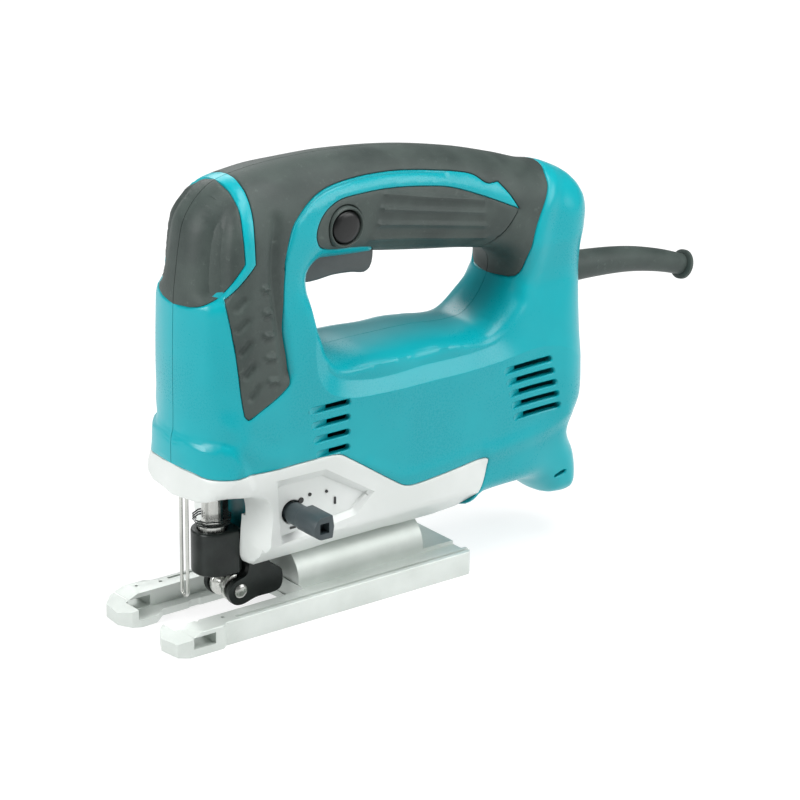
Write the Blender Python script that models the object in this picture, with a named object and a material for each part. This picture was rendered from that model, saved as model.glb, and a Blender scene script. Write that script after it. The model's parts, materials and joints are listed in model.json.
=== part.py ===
"""Top-handle orbital jigsaw. +X points towards the blade end, +Y to the tool's left, +Z up.
The origin lies on the sole, at the middle of the base plate. Lengths below are in
millimetres and are scaled to metres when a mesh is made."""

from math import atan2, cos, hypot, pi, radians, sin

import bmesh
import bpy
from mathutils import Matrix, Vector
from mathutils.geometry import delaunay_2d_cdt

MM = 0.001
GAP = 0.3            # clearance between pieces that touch
WALL = 3.0           # thickness of the moulded shells
CROWN = 2.2          # exponent of the rounded edge of the body

# driving positions
PLUNGER_X = 44.0     # plunger axis, vertical
PLUNGER_R = 4.6
STROKE = 23.0
MOTOR_Z = 75.0       # armature axis, along X
GEAR_Z = 105.0       # drive gear axis, along X
MODULE = 1.2
PINION_TEETH = 10
GEAR_TEETH = 40
TILT_Z = 12.0        # axis that the base tilts about, along X
HUMP_R = 14.7
ROLLER_X = 36.0
ROLLER_Z = 13.6
FORK_X = 25.0        # pivot that the retainer fork swings on
FORK_Z = 42.0
LEVER_X = 20.5
LEVER_Z = 52.5
BUTTON_X = -12.0
BUTTON_Z = 173.5
GUARD_Z = 121.5      # height at which the cord guard leaves the housing
SCREWS = [(14, 138), (12, 88), (-76, 105.5), (-137, 100), (-128, 46), (-141, 146)]

# side view of the whole body: a point given twice is a corner
BODY = [
    (64.5, 62.5), (64.5, 62.5), (64.3, 90), (63.6, 120), (62.5, 151), (61.1, 163), (59.7, 172.5),
    (57, 184), (50.5, 193), (42, 198.6), (26, 201.7), (8, 202.8), (-20, 201.8), (-51.5, 198),
    (-85, 191), (-108, 184.2), (-124, 178.6), (-132, 176.8), (-139, 174), (-147.5, 169),
    (-153, 162.5), (-155, 155), (-154.5, 147), (-153, 138), (-151.8, 128), (-151, 112),
    (-151.3, 85), (-150.8, 68), (-147, 57), (-144.5, 50.5), (-148, 41), (-149.5, 32), (-149, 24),
    (-146, 19.5), (-141, 18), (-133, 19), (-126, 24), (-119, 29), (-110, 30.5), (-88, 30.5),
    (-88, 30.5), (-76, 28), (-70, 27), (-70, 27), (35, 27), (35, 27), (37, 31), (36.5, 42),
    (35.8, 54), (38, 60.5), (44, 62.5), (44, 62.5), (64.5, 62.5),
]
# side view of the opening that the fingers go through
OPENING = [
    (4.3, 148), (3, 138), (0, 127), (-4, 118), (-10, 114.6), (-30, 114.2), (-60, 113.6),
    (-82, 111.6), (-92, 112.6), (-100, 119), (-105.5, 128), (-106.2, 136), (-102, 141.5),
    (-92, 144), (-75, 147), (-57, 149.8), (-42, 152.4), (-35, 153.8), (-15, 155.4), (-2, 156.5),
    (3, 154), (4.3, 148),
]
# (x, z, half width, edge radius) of the body at places across its side
STATIONS = [
    (62, 75, 30, 30), (62, 110, 30, 30), (62, 145, 30, 30), (57, 180, 29, 28), (30, 200, 24, 24),
    (0, 203, 19, 22), (-40, 200, 18, 21), (-90, 190, 18, 21), (-135, 172, 19, 20),
    (-154, 150, 21, 20), (-151, 110, 27, 25), (-151, 75, 29, 26), (-146, 45, 22, 14),
    (-140, 20, 19, 9), (-100, 31, 26, 12), (-60, 28, 29, 3), (20, 28, 29, 3), (36, 45, 29, 3),
    (42, 62, 30, 2), (62, 62, 30, 2), (4, 140, 29, 13), (0, 120, 30, 15), (-30, 114, 30, 24),
    (-70, 113, 29, 24), (-98, 118, 27, 22), (-106, 135, 22, 19), (-85, 145, 18, 20),
    (-50, 150, 18, 20), (-10, 156, 19, 18), (8, 158, 25, 16),
]
# lines on the side along which one moulding meets the next
NOSE_LINE = [(40.5, 198.9), (42, 190), (43.6, 181), (43.8, 169), (43.8, 169), (54, 155), (54, 155),
             (60, 150), (62.6, 148.5)]
STRIP_LINE = [(34.5, 200.4), (36.5, 190), (38.5, 179), (38.8, 168), (38.8, 168), (52.6, 154),
              (52.6, 154), (49.5, 131.7), (46.3, 102.5), (44.5, 100.5), (44.5, 100.5), (23.5, 111.5),
              (23.3, 121), (25, 136), (24, 149), (22.9, 158.4), (20.8, 170.6), (15.6, 181.6),
              (2, 189.8), (-14.7, 192.8), (-38, 192), (-56.4, 189.5), (-73, 186), (-85, 182.3),
              (-92.2, 177.2), (-98.4, 176.7), (-103, 171), (-108, 163.2), (-108, 163.2)]
PALM_LINE = [(-108, 163.2), (-108, 163.2), (-90.1, 171.7), (-71.1, 179.5), (-54.1, 183.1),
             (-35.7, 185.4), (-18, 186.2), (-9.7, 185.7), (-2.5, 182.8), (2.3, 178.4), (4.6, 172.6),
             (2.4, 167.6), (-7.5, 163.2), (-20.4, 161.4), (-30, 159), (-36, 153.9)]
REAR_LINE = [(-131.5, 177), (-128.2, 173.5), (-126.6, 169.2), (-121.5, 161.3), (-116.3, 151.5),
             (-113.7, 142.3), (-112, 133.4), (-109.9, 130.3), (-105.9, 129)]
SEAM_LINE = [(64.3, 77), (60, 75), (46.8, 75.9), (34.3, 75.2), (11.8, 75), (-0.7, 74.5),
             (-4, 73.9), (-8, 71.6), (-36, 52.9), (-40, 50.9), (-45, 50.3), (-70, 52.2),
             (-84, 53), (-87, 52.2), (-86.9, 49), (-84.6, 41), (-80, 34), (-76, 28)]

TEAL = (0.0, 0.45, 0.5)
ELASTOMER = (0.07, 0.09, 0.085)
SILVER = (0.86, 0.88, 0.87)
CAST = (0.62, 0.66, 0.63)
BLACK = (0.02, 0.024, 0.022)
SLATE = (0.04, 0.055, 0.06)
STEEL = (0.55, 0.55, 0.54)
COPPER = (0.72, 0.3, 0.14)
BRASS = (0.7, 0.5, 0.2)


# ---------------------------------------------------------------- scene and materials

def clear_scene():
    for obj in list(bpy.data.objects):
        bpy.data.objects.remove(obj, do_unlink=True)


def material(name, colour, roughness, metallic=0.0):
    found = bpy.data.materials.get(name) or bpy.data.materials.new(name)
    found.use_nodes = True
    shader = found.node_tree.nodes["Principled BSDF"]
    shader.inputs["Base Color"].default_value = (*colour, 1)
    shader.inputs["Roughness"].default_value = roughness
    shader.inputs["Metallic"].default_value = metallic
    return found


FINISHES = {
    "teal": (TEAL, 0.35, 0.0), "elastomer": (ELASTOMER, 0.7, 0.0), "silver": (SILVER, 0.35, 0.3),
    "cast": (CAST, 0.45, 0.9), "black": (BLACK, 0.4, 0.0), "slate": (SLATE, 0.45, 0.0),
    "steel": (STEEL, 0.3, 1.0), "copper": (COPPER, 0.35, 1.0), "brass": (BRASS, 0.35, 1.0),
}


def make_object(name, bm, finish, helper=False):
    """Turns a bmesh in millimetres into an object in metres."""
    bmesh.ops.remove_doubles(bm, verts=bm.verts, dist=0.0005)
    bmesh.ops.scale(bm, vec=(MM, MM, MM), verts=bm.verts)
    mesh = bpy.data.meshes.new(name)
    bm.to_mesh(mesh)
    bm.free()
    obj = bpy.data.objects.new(name, mesh)
    bpy.context.scene.collection.objects.link(obj)
    if helper:
        obj.hide_render = True
        obj.display_type = "WIRE"
    else:
        mesh.materials.append(material(finish, *FINISHES[finish]))
        mesh.shade_smooth()
        mesh.set_sharp_from_angle(angle=radians(35))
    return obj


def combine(obj, other, operation):
    """Adds a Boolean with a helper object."""
    modifier = obj.modifiers.new(operation.lower() + "_" + other.name, "BOOLEAN")
    modifier.operation = operation
    modifier.object = other
    other.hide_render = True
    other.display_type = "WIRE"


def set_origin(obj, point):
    """Moves the object's origin to a point in millimetres and leaves its mesh in place."""
    shift = Vector(point) * MM
    obj.data.transform(Matrix.Translation(-shift))
    obj.location = shift


# ---------------------------------------------------------------- plane geometry

def smooth_line(points, step):
    """Points along a smooth curve through the given ones; a doubled point is a corner."""
    knots = [Vector(p) for p in points]
    line = []
    for i in range(len(knots) - 1):
        a, b = knots[i], knots[i + 1]
        length = (b - a).length
        if length < 1e-6:
            continue
        before = knots[i - 1] if i > 0 and (a - knots[i - 1]).length > 1e-6 else 2 * a - b
        after = knots[i + 2] if i + 2 < len(knots) and (knots[i + 2] - b).length > 1e-6 else 2 * b - a
        leave = (b - before) * (length / (length + (a - before).length))
        arrive = (after - a) * (length / (length + (after - b).length))
        count = max(1, round(length / step))
        for k in range(count):
            t = k / count
            line.append((2 * t**3 - 3 * t * t + 1) * a + (t**3 - 2 * t * t + t) * leave
                        + (3 * t * t - 2 * t**3) * b + (t**3 - t * t) * arrive)
    line.append(knots[-1])
    return line


def foot_on(ring, point):
    """(index, point) of the place on a closed ring that lies nearest to a point."""
    best = (1e9, 0, None)
    for i, a in enumerate(ring):
        along = ring[(i + 1) % len(ring)] - a
        t = max(0, min(1, (point - a).dot(along) / max(along.length_squared, 1e-12)))
        foot = a + along * t
        best = min(best, ((point - foot).length, i, foot), key=lambda item: item[0])
    return best[1], best[2]


def between(closed, start, end):
    """The stretch of a closed line from near one point to near another, in its own order."""
    ring = closed[:-1]
    first, start_foot = foot_on(ring, Vector(start))
    last, end_foot = foot_on(ring, Vector(end))
    behind = (end_foot - ring[first]).length < (start_foot - ring[first]).length
    if last < first or (last == first and behind):
        last += len(ring)
    return [start_foot] + [ring[i % len(ring)] for i in range(first + 1, last + 1)] + [end_foot]


def tidy_ring(points, least=0.6):
    ring = []
    for point in points:
        if not ring or (point - ring[-1]).length > least:
            ring.append(Vector(point))
    while (ring[0] - ring[-1]).length <= least:
        ring.pop()
    return ring


def area(ring):
    return sum(a.x * b.y - b.x * a.y for a, b in zip(ring, ring[1:] + ring[:1])) / 2


def inset(ring, distance):
    """The ring moved inwards by a distance."""
    sign = 1 if area(ring) > 0 else -1
    moved = []
    for i, point in enumerate(ring):
        back = (point - ring[i - 1]).normalized()
        ahead = (ring[(i + 1) % len(ring)] - point).normalized()
        one = Vector((-back.y, back.x)) * sign
        two = Vector((-ahead.y, ahead.x)) * sign
        middle = one + two
        middle = middle.normalized() if middle.length > 1e-6 else one
        moved.append(point + middle * (distance / max(0.5, middle.dot(one))))
    return moved


def inside(ring, x, z):
    hits = 0
    for a, b in zip(ring, ring[1:] + ring[:1]):
        if (a.y > z) != (b.y > z) and x < a.x + (z - a.y) / (b.y - a.y) * (b.x - a.x):
            hits += 1
    return hits % 2 == 1


def ring_distance(ring, x, z):
    nearest = 1e9
    for a, b in zip(ring, ring[1:] + ring[:1]):
        ex, ez = b.x - a.x, b.y - a.y
        size = ex * ex + ez * ez
        t = 0 if size < 1e-12 else max(0, min(1, ((x - a.x) * ex + (z - a.y) * ez) / size))
        nearest = min(nearest, hypot(x - a.x - t * ex, z - a.y - t * ez))
    return nearest


# ---------------------------------------------------------------- the crowned body

STEP = 11.0
BODY_LINE = smooth_line(BODY, STEP)
OPENING_LINE = smooth_line(OPENING, STEP)
BODY_RING = BODY_LINE[:-1]
OPENING_RING = OPENING_LINE[:-1]


def edge_distance(x, z):
    return min(ring_distance(BODY_RING, x, z), ring_distance(OPENING_RING, x, z))


def body_section(x, z):
    """(half width, edge radius) of the body near a point of its side."""
    total = width = radius = 0.0
    for sx, sz, w, r in STATIONS:
        weight = 1 / ((sx - x) ** 2 + (sz - z) ** 2 + 256) ** 2
        total += weight
        width += weight * w
        radius += weight * r
    return width / total, radius / total


def body_y(x, z, depth=0.0):
    """Half width of the body at a point, or of the surface that lies a depth inside it."""
    width, radius = body_section(x, z)
    edge = edge_distance(x, z) - depth
    if edge <= 0:
        return 0.0
    turn = min(1.0, edge / max(radius - depth, 1.0))
    return (width - depth) * (1 - (1 - turn) ** CROWN) ** (1 / CROWN)


def housing_y(x, z, depth=0.0):
    """As body_y, with the chamfers under the gear housing that leave room for the tilting base."""
    return min(body_y(x, z, depth), max(15.0 + (z - 27.0) * 14 / 12 - depth, 4.0))


def cover_plane(ring, step):
    """Triangles that fill a ring, with points inside it."""
    points = list(ring)
    low = Vector((min(p.x for p in ring), min(p.y for p in ring)))
    high = Vector((max(p.x for p in ring), max(p.y for p in ring)))
    for near in (1.2, 4.5):
        for p in inset(ring, near):
            if inside(ring, p.x, p.y) and ring_distance(ring, p.x, p.y) > near * 0.9:
                points.append(p)
    rows = int((high.y - low.y) / (step * 0.87)) + 1
    columns = int((high.x - low.x) / step) + 1
    for j in range(rows):
        for i in range(columns):
            x = low.x + (i + 0.5 * (j % 2)) * step
            z = low.y + j * step * 0.87
            if inside(ring, x, z) and ring_distance(ring, x, z) > 4.5 + step * 0.4:
                points.append(Vector((x, z)))
    edges = [(i, (i + 1) % len(ring)) for i in range(len(ring))]
    found = delaunay_2d_cdt(points, edges, [], 1, 1e-5)
    return found[0], found[2]


def panel(name, ring, outer, inner, side, finish, step=STEP):
    """A closed solid between two surfaces over a ring of the side view."""
    flat, triangles = cover_plane(ring, step)
    bm = bmesh.new()
    top = [bm.verts.new((p.x, side * outer(p.x, p.y), p.y)) for p in flat]
    low = [bm.verts.new((p.x, side * inner(p.x, p.y), p.y)) for p in flat]
    for a, b, c in triangles:
        bm.faces.new((top[a], top[b], top[c]))
        bm.faces.new((low[c], low[b], low[a]))
    rim = [edge for edge in bm.edges if len(edge.link_faces) == 1 and edge.verts[0] in set(top)]
    twin = dict(zip(top, low))
    for edge in rim:
        a, b = edge.verts
        bm.faces.new((a, b, twin[b], twin[a]))
    bmesh.ops.recalc_face_normals(bm, faces=bm.faces)
    return make_object(name, bm, finish)


def zone_rings():
    """The ring of each moulding in the side view."""
    nose = smooth_line(NOSE_LINE, STEP)
    strip = smooth_line(STRIP_LINE, STEP)
    palm = smooth_line(PALM_LINE, STEP)
    rear = smooth_line(REAR_LINE, STEP)
    seam = smooth_line(SEAM_LINE, STEP)
    strip_top = STRIP_LINE[0]
    zones = {
        "nose_cap": between(BODY_LINE, NOSE_LINE[-1], NOSE_LINE[0]) + nose,
        "grip": (between(BODY_LINE, strip_top, REAR_LINE[0]) + rear
                 + between(OPENING_LINE, REAR_LINE[-1], (-92, 144)) + [Vector((-108, 163.2))]
                 + strip[::-1]),
        "palm_insert": palm + between(OPENING_LINE, (-92, 144), PALM_LINE[-1])[::-1],
        "housing": (between(BODY_LINE, SEAM_LINE[0], NOSE_LINE[-1]) + nose[::-1]
                    + between(BODY_LINE, NOSE_LINE[0], strip_top) + strip + palm
                    + between(OPENING_LINE, PALM_LINE[-1], (4.3, 148))
                    + between(OPENING_LINE, (4.3, 148), REAR_LINE[-1]) + rear[::-1]
                    + between(BODY_LINE, REAR_LINE[0], (-88, 30.5))
                    + seam[::-1]),
        "gear_housing": (between(BODY_LINE, SEAM_LINE[-1], SEAM_LINE[0]) + seam),
    }
    return {name: tidy_ring(ring) for name, ring in zones.items()}


# ---------------------------------------------------------------- simple solids

def block(name, low, high, finish, helper=False):
    bm = bmesh.new()
    bmesh.ops.create_cube(bm, size=1)
    for vert in bm.verts:
        vert.co = Vector([low[i] + (vert.co[i] + 0.5) * (high[i] - low[i]) for i in range(3)])
    return make_object(name, bm, finish, helper)


def turned(name, profile, axis, centre, finish, sides=20, helper=False):
    """A solid of revolution. The profile lists (distance along the axis, radius)."""
    bm = bmesh.new()
    points = [bm.verts.new((radius, 0, along)) for along, radius in profile]
    for a, b in zip(points, points[1:]):
        bm.edges.new((a, b))
    if profile[0][1] > 0 and profile[-1][1] > 0:
        bm.edges.new((points[-1], points[0]))
    bmesh.ops.spin(bm, geom=bm.verts[:] + bm.edges[:], cent=(0, 0, 0), axis=(0, 0, 1),
                   angle=2 * pi, steps=sides, use_merge=True)
    bmesh.ops.remove_doubles(bm, verts=bm.verts, dist=0.0005)
    turn = {"X": Matrix.Rotation(radians(90), 4, "Y"), "Y": Matrix.Rotation(radians(-90), 4, "X"),
            "Z": Matrix.Identity(4)}[axis]
    bm.transform(Matrix.Translation(centre) @ turn)
    bmesh.ops.recalc_face_normals(bm, faces=bm.faces)
    return make_object(name, bm, finish, helper)


def rod(name, radius, start, end, axis, centre, finish, sides=20, helper=False):
    """A plain round bar along an axis; centre gives the other two coordinates."""
    return turned(name, [(start, 0), (start, radius), (end, radius), (end, 0)], axis, centre,
                  finish, sides, helper)


def ring_solid(name, inner, outer, start, end, axis, centre, finish, sides=20, helper=False):
    return turned(name, [(start, inner), (start, outer), (end, outer), (end, inner)], axis, centre,
                  finish, sides, helper)


def prism(name, outline, axis, start, end, finish, helper=False):
    """An outline pushed along an axis. Outlines are in (x, z) for Y, (y, z) for X, (x, y) for Z."""
    place = {"X": lambda a, b, d: (d, a, b), "Y": lambda a, b, d: (a, d, b),
             "Z": lambda a, b, d: (a, b, d)}[axis]
    bm = bmesh.new()
    face = bm.faces.new([bm.verts.new(place(a, b, start)) for a, b in outline])
    pushed = bmesh.ops.extrude_face_region(bm, geom=[face])
    moved = [item for item in pushed["geom"] if isinstance(item, bmesh.types.BMVert)]
    bmesh.ops.translate(bm, verts=moved, vec=Vector(place(0, 0, end)) - Vector(place(0, 0, start)))
    bmesh.ops.recalc_face_normals(bm, faces=bm.faces)
    return make_object(name, bm, finish, helper)


def mirrored(half):
    """A full outline from its half with the second coordinate 0 or more."""
    return half + [(a, -b) for a, b in reversed(half) if b > 0]


def tube(name, path, outer, inner, finish, sides=14):
    """A tube along a path; outer gives its radius at each point, and inner is its bore or 0."""
    bm = bmesh.new()
    loops = []
    for i, point in enumerate(path):
        ahead = (path[min(i + 1, len(path) - 1)] - path[max(i - 1, 0)]).normalized()
        across = Vector((0, 1, 0)) if abs(ahead.y) < 0.9 else Vector((1, 0, 0))
        other = ahead.cross(across).normalized()
        across = other.cross(ahead)
        loop = []
        for radius in [outer[i]] + ([inner] if inner else []):
            loop.append([bm.verts.new(point + (across * cos(2 * pi * k / sides)
                                               + other * sin(2 * pi * k / sides)) * radius)
                         for k in range(sides)])
        loops.append(loop)
    for one, two in zip(loops, loops[1:]):
        for k in range(sides):
            j = (k + 1) % sides
            for a, b in zip(one, two):
                bm.faces.new((a[k], a[j], b[j], b[k]))
    for loop in (loops[0], loops[-1]):
        if inner:
            for k in range(sides):
                j = (k + 1) % sides
                bm.faces.new((loop[0][k], loop[0][j], loop[1][j], loop[1][k]))
        else:
            bm.faces.new(loop[0])
    bmesh.ops.recalc_face_normals(bm, faces=bm.faces)
    return make_object(name, bm, finish)


def coil(name, radius, wire, start, end, turns, axis, centre, finish):
    """A helical spring between two heights."""
    path = []
    steps = turns * 9
    for k in range(steps + 1):
        angle = 2 * pi * turns * k / steps
        along = start + (end - start) * k / steps
        local = (radius * cos(angle), radius * sin(angle), along)
        if axis == "Y":
            local = (local[0], local[2], local[1])
        path.append(Vector(centre) + Vector(local))
    return tube(name, path, [wire] * len(path), 0, finish, sides=5)


def toothed_outline(teeth, phase, backlash=0.35):
    """Gear outline with straight-sided teeth about (0, 0)."""
    pitch = MODULE * teeth / 2
    outline = []
    for k in range(teeth):
        for share, radius in ((-0.27, pitch - 1.25 * MODULE), (-0.13, pitch + 0.8 * MODULE),
                              (0.13, pitch + 0.8 * MODULE), (0.27, pitch - 1.25 * MODULE)):
            slack = backlash / (2 * pitch) * (1 if share < 0 else -1)
            angle = phase + 2 * pi * (k + share) / teeth + slack
            outline.append((radius * cos(angle), radius * sin(angle)))
    return outline


# ---------------------------------------------------------------- mouldings

def slot_outline(x0, z0, x1, z1, height):
    """A slot between two points with square ends."""
    return [(x0, z0), (x1, z1), (x1, z1 + height), (x0, z0 + height)]


def shell_cutters():
    """Everything that is cut out of the moulded halves."""
    cutters = [block("cut_trigger", (-37, -10.3, 140), (3.6, 10.3, 168), None, True)]
    cutters.append(rod("cut_guard", 5.9, -160, -144, "X", (0, 0, GUARD_Z), None, 20, True))
    return cutters


def vent_cutters(side):
    """Cooling slots: five at the rear and four at the front of each side."""
    reach = (18, 36) if side > 0 else (-36, -18)
    cutters = []
    for k in range(5):
        shift = 5.8 * k
        outline = slot_outline(-124 - 0.9 * k, 90.4 - shift, -95.5 - 1.6 * k, 89.6 - shift, 2.6)
        cutters.append(prism(f"cut_rear_vent_{k}_{side}", outline, "Y", *reach, None, True))
    for k, length in enumerate((20, 18, 15.5, 12)):
        z = 95.4 - 6.4 * k
        outline = slot_outline(-8, z, -8 + length, z + 2.6, 2.6)
        cutters.append(prism(f"cut_front_vent_{k}_{side}", outline, "Y", *reach, None, True))
    return cutters


def mouldings(rings):
    """Housing halves, nose caps, grips and palm inserts."""
    shared = shell_cutters()
    for side, word in ((1, "left"), (-1, "right")):
        for zone, finish in (("nose_cap", "elastomer"), ("grip", "elastomer"),
                             ("palm_insert", "elastomer"), ("housing", "teal")):
            ring = tidy_ring(inset(rings[zone], GAP / 2), 0.4)
            shell = panel(f"{zone}_{word}", ring, body_y,
                          lambda x, z: max(GAP / 2, body_y(x, z, WALL)), side, finish)
            if zone in ("housing", "palm_insert", "grip"):
                combine(shell, shared[0], "DIFFERENCE")
            if zone == "housing":
                finish_half(shell, shared, side)
            if zone == "palm_insert" and side > 0:
                hole = rod("cut_button", 9.5, 5, 40, "Y", (BUTTON_X, 0, BUTTON_Z), None, 24, True)
                combine(shell, hole, "DIFFERENCE")


def finish_half(shell, shared, side):
    """Bosses, screw holes, vents and the cord outlet of one housing half."""
    for k, (x, z) in enumerate(SCREWS):
        deep = body_y(x, z, WALL) + 1.5
        ends = (GAP / 2, deep) if side > 0 else (-deep, -GAP / 2)
        boss = rod(f"boss_{k}_{side}", 4.4, *ends, "Y", (x, 0, z), None, 10, True)
        combine(shell, boss, "UNION")
        hole_end = deep - 4 if side > 0 else -40
        hole = rod(f"cut_screw_{k}_{side}", 2.1, *sorted((-side, hole_end)), "Y", (x, 0, z),
                   None, 8, True)
        combine(shell, hole, "DIFFERENCE")
        if side < 0:
            sink = rod(f"cut_head_{k}", 3.9, -40, -deep + 2.05, "Y", (x, 0, z), None, 10, True)
            combine(shell, sink, "DIFFERENCE")
    for cutter in vent_cutters(side) + [shared[1]]:
        combine(shell, cutter, "DIFFERENCE")


def housing_screws():
    for k, (x, z) in enumerate(SCREWS):
        seat = -(body_y(x, z, WALL) + 1.5) + 1.9
        turned(f"housing_screw_{k + 1}",
               [(seat - 2.4, 0), (seat - 2.4, 2.9), (seat - 1.6, 3.5), (seat, 3.5), (seat, 1.8),
                (body_y(x, z, WALL) - 5, 1.8), (body_y(x, z, WALL) - 3.5, 0)], "Y", (x, 0, z), "steel", 12)


def gear_housing(ring):
    """The silver casting: a two-sided crowned solid, hollowed from above."""
    ring = tidy_ring(inset(ring, GAP / 2), 0.4)
    body = panel("gear_housing", ring, housing_y, lambda x, z: -housing_y(x, z), 1, "silver")
    room = [(-66, 31), (-76, 38), (-80, 45), (-80, 84), (30, 84), (30, 31)]
    combine(body, prism("cut_motor_room", room, "Y", -25.4, 25.4, None, True), "DIFFERENCE")
    combine(body, block("cut_nose_room", (29, -13, 50), (56.5, 13, 90), None, True), "DIFFERENCE")
    combine(body, block("cut_channel", (17, -10.4, 20), (45, 10.4, 70), None, True), "DIFFERENCE")
    pocket = [(31, 70), (4.3, 69), (-22.4, 52.4), (-12, 44), (27.9, 39.8)]
    combine(body, prism("cut_pocket", pocket, "Y", 27.4, 40, None, True), "DIFFERENCE")
    bore = rod("cut_lever", 4.2, 20, 40, "Y", (LEVER_X, 0, LEVER_Z), None, 20, True)
    combine(body, bore, "DIFFERENCE")
    return body


# ---------------------------------------------------------------- handle controls

def controls():
    outline = [(2.9, 160), (3.2, 151), (1, 147.6), (-6, 147.4), (-14, 148.2), (-24, 147.4),
               (-31, 146), (-34.4, 148), (-35.8, 154), (-35.8, 160)]
    trigger = prism("trigger", outline, "Y", -9.6, 9.6, "black")
    set_origin(trigger, (-15, 0, 160))
    ring_solid("lock_button_ring", 7.6, 9.2, 16.5, 22.6, "Y", (BUTTON_X, 0, BUTTON_Z), "black", 28)
    button = turned("lock_button", [(13, 0), (13, 6), (14, 7.3), (22.2, 7.3), (23.2, 6.4),
                                    (23.4, 0)], "Y", (BUTTON_X, 0, BUTTON_Z), "black", 24)
    set_origin(button, (BUTTON_X, 18, BUTTON_Z))
    coil("lock_button_spring", 2.6, 0.35, 8.7, 9.5, 1, "Y", (BUTTON_X, 0, BUTTON_Z), "steel")
    block("switch_body", (-34, -8.2, 171), (4, 8.2, 190), "black")
    coil("trigger_spring", 2.8, 0.4, 160.4, 170.6, 4, "Z", (-16, 0, 0), "steel")
    block("speed_control", (-86, -9, 158), (-62, 9, 172), "black")


def cord_outlet():
    """The tapered sleeve that guides the mains lead out of the housing. Its bore is open."""
    line = smooth_line([(-146, GUARD_Z), (-160, GUARD_Z), (-186, 119), (-206, 114.6), (-223, 109)], 9)
    path = [Vector((p.x, 0, p.y)) for p in line]
    reach = len(path) - 1
    radii = []
    for k, point in enumerate(path):
        share = k / reach
        radii.append(5.6 if point.x > -154 else 7.3 - 2.4 * share)
    radii[-2:] = [6.9, 6.9]
    tube("cord_guard", path, radii, 3.6, "elastomer", 14)
    block("cord_clamp", (-136, -11, 113), (-128, 11, 118), "black")


# ---------------------------------------------------------------- motor and gears

def motor():
    centre = (0, 0, MOTOR_Z)
    shaft = rod("armature_shaft", 3, -110, 32, "X", centre, "steel", 16)
    teeth = [(a, b + MOTOR_Z) for a, b in toothed_outline(PINION_TEETH, pi / 2 + pi / PINION_TEETH)]
    pinion = prism("pinion_teeth", teeth, "X", 23.5, 31.5, None, True)
    combine(shaft, pinion, "UNION")
    core = ring_solid("armature_core", 3.3, 15.5, -72, -36, "X", centre, "steel", 24)
    commutator = ring_solid("commutator", 3.3, 9, -98, -86, "X", centre, "copper", 24)
    fan = turned("cooling_fan", [(-18, 3.3), (-18, 23), (-15.5, 23), (-14, 9), (-8, 7), (-8, 3.3)],
                 "X", centre, "black", 28)
    for turning in (shaft, core, commutator, fan):
        set_origin(turning, centre)
    ring_solid("front_bearing", 3.3, 8.5, 5, 11, "X", centre, "steel", 20)
    ring_solid("rear_bearing", 3.3, 8.5, -109, -103, "X", centre, "steel", 20)
    ring_solid("field_core", 16.6, 23, -72, -36, "X", centre, "steel", 28)
    for word, sign in (("upper", 1), ("lower", -1)):
        arc = []
        for radius, order in ((21.5, 1), (17, -1)):
            angles = [radians(90 + order * (k * 12 - 48)) for k in range(9)]
            arc += [(radius * cos(a), MOTOR_Z + sign * radius * sin(a)) for a in angles]
        prism(f"field_coil_{word}", arc, "X", -35.4, -29, "copper")
    for word, sign in (("left", 1), ("right", -1)):
        low, high = sorted((sign * 9.4, sign * 17))
        block(f"carbon_brush_{word}", (-95, low, MOTOR_Z - 3), (-89, high, MOTOR_Z + 3), "black")
        holder = ring_solid(f"brush_holder_{word}", 4.9, 6.2, *sorted((sign * 11, sign * 20)), "Y",
                            (-92, 0, MOTOR_Z), "brass", 16)
        set_origin(holder, (-92, sign * 15, MOTOR_Z))
    plate = [(-21, 62), (21, 62), (21, 128), (12, 137), (-12, 137), (-21, 128)]
    bearing_plate = prism("gear_bearing_plate", plate, "X", 19, 22.4, "cast")
    for name, radius, z in (("cut_shaft_bore", 3.4, MOTOR_Z), ("cut_pin_bore", 4.3, GEAR_Z)):
        hole = rod(name, radius, 5, 26, "X", (0, 0, z), None, 16, True)
        combine(bearing_plate, hole, "DIFFERENCE")


def gear_train():
    rod("gear_pin", 4, 10, 30.8, "X", (0, 0, GEAR_Z), "steel", 16)
    teeth = [(a, b + GEAR_Z) for a, b in toothed_outline(GEAR_TEETH, -pi / 2)]
    gear = prism("drive_gear", teeth, "X", 23.8, 29.2, "steel")
    combine(gear, rod("cut_gear_bore", 4.2, 20, 36, "X", (0, 0, GEAR_Z), None, 16, True), "DIFFERENCE")
    crank = rod("crank_stub", 3, 28, 31.8, "X", (0, 0, GEAR_Z - STROKE / 2), None, 14, True)
    combine(gear, crank, "UNION")
    set_origin(gear, (25, 0, GEAR_Z))


def plunger():
    yoke_z = GEAR_Z - STROKE / 2
    bar = rod("plunger", PLUNGER_R, 44.6, 136, "Z", (PLUNGER_X, 0, 0), "steel", 20)
    combine(bar, block("yoke_arm", (36, -5, yoke_z - 6), (PLUNGER_X, 5, yoke_z + 6), None, True), "UNION")
    combine(bar, block("yoke", (32.4, -20, yoke_z - 7.6), (37, 20, yoke_z + 7.6), None, True), "UNION")
    slot = block("cut_yoke", (30, -17, yoke_z - 5.2), (36.2, 17, yoke_z + 5.2), None, True)
    combine(bar, slot, "DIFFERENCE")
    set_origin(bar, (PLUNGER_X, 0, yoke_z))
    for name, low, high in (("lower_bush", 73.5, 81.5), ("upper_bush", 126, 134)):
        ring_solid(name, PLUNGER_R + 0.35, 8.4, low, high, "Z", (PLUNGER_X, 0, 0), "brass", 20)


# ---------------------------------------------------------------- blade end

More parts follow.
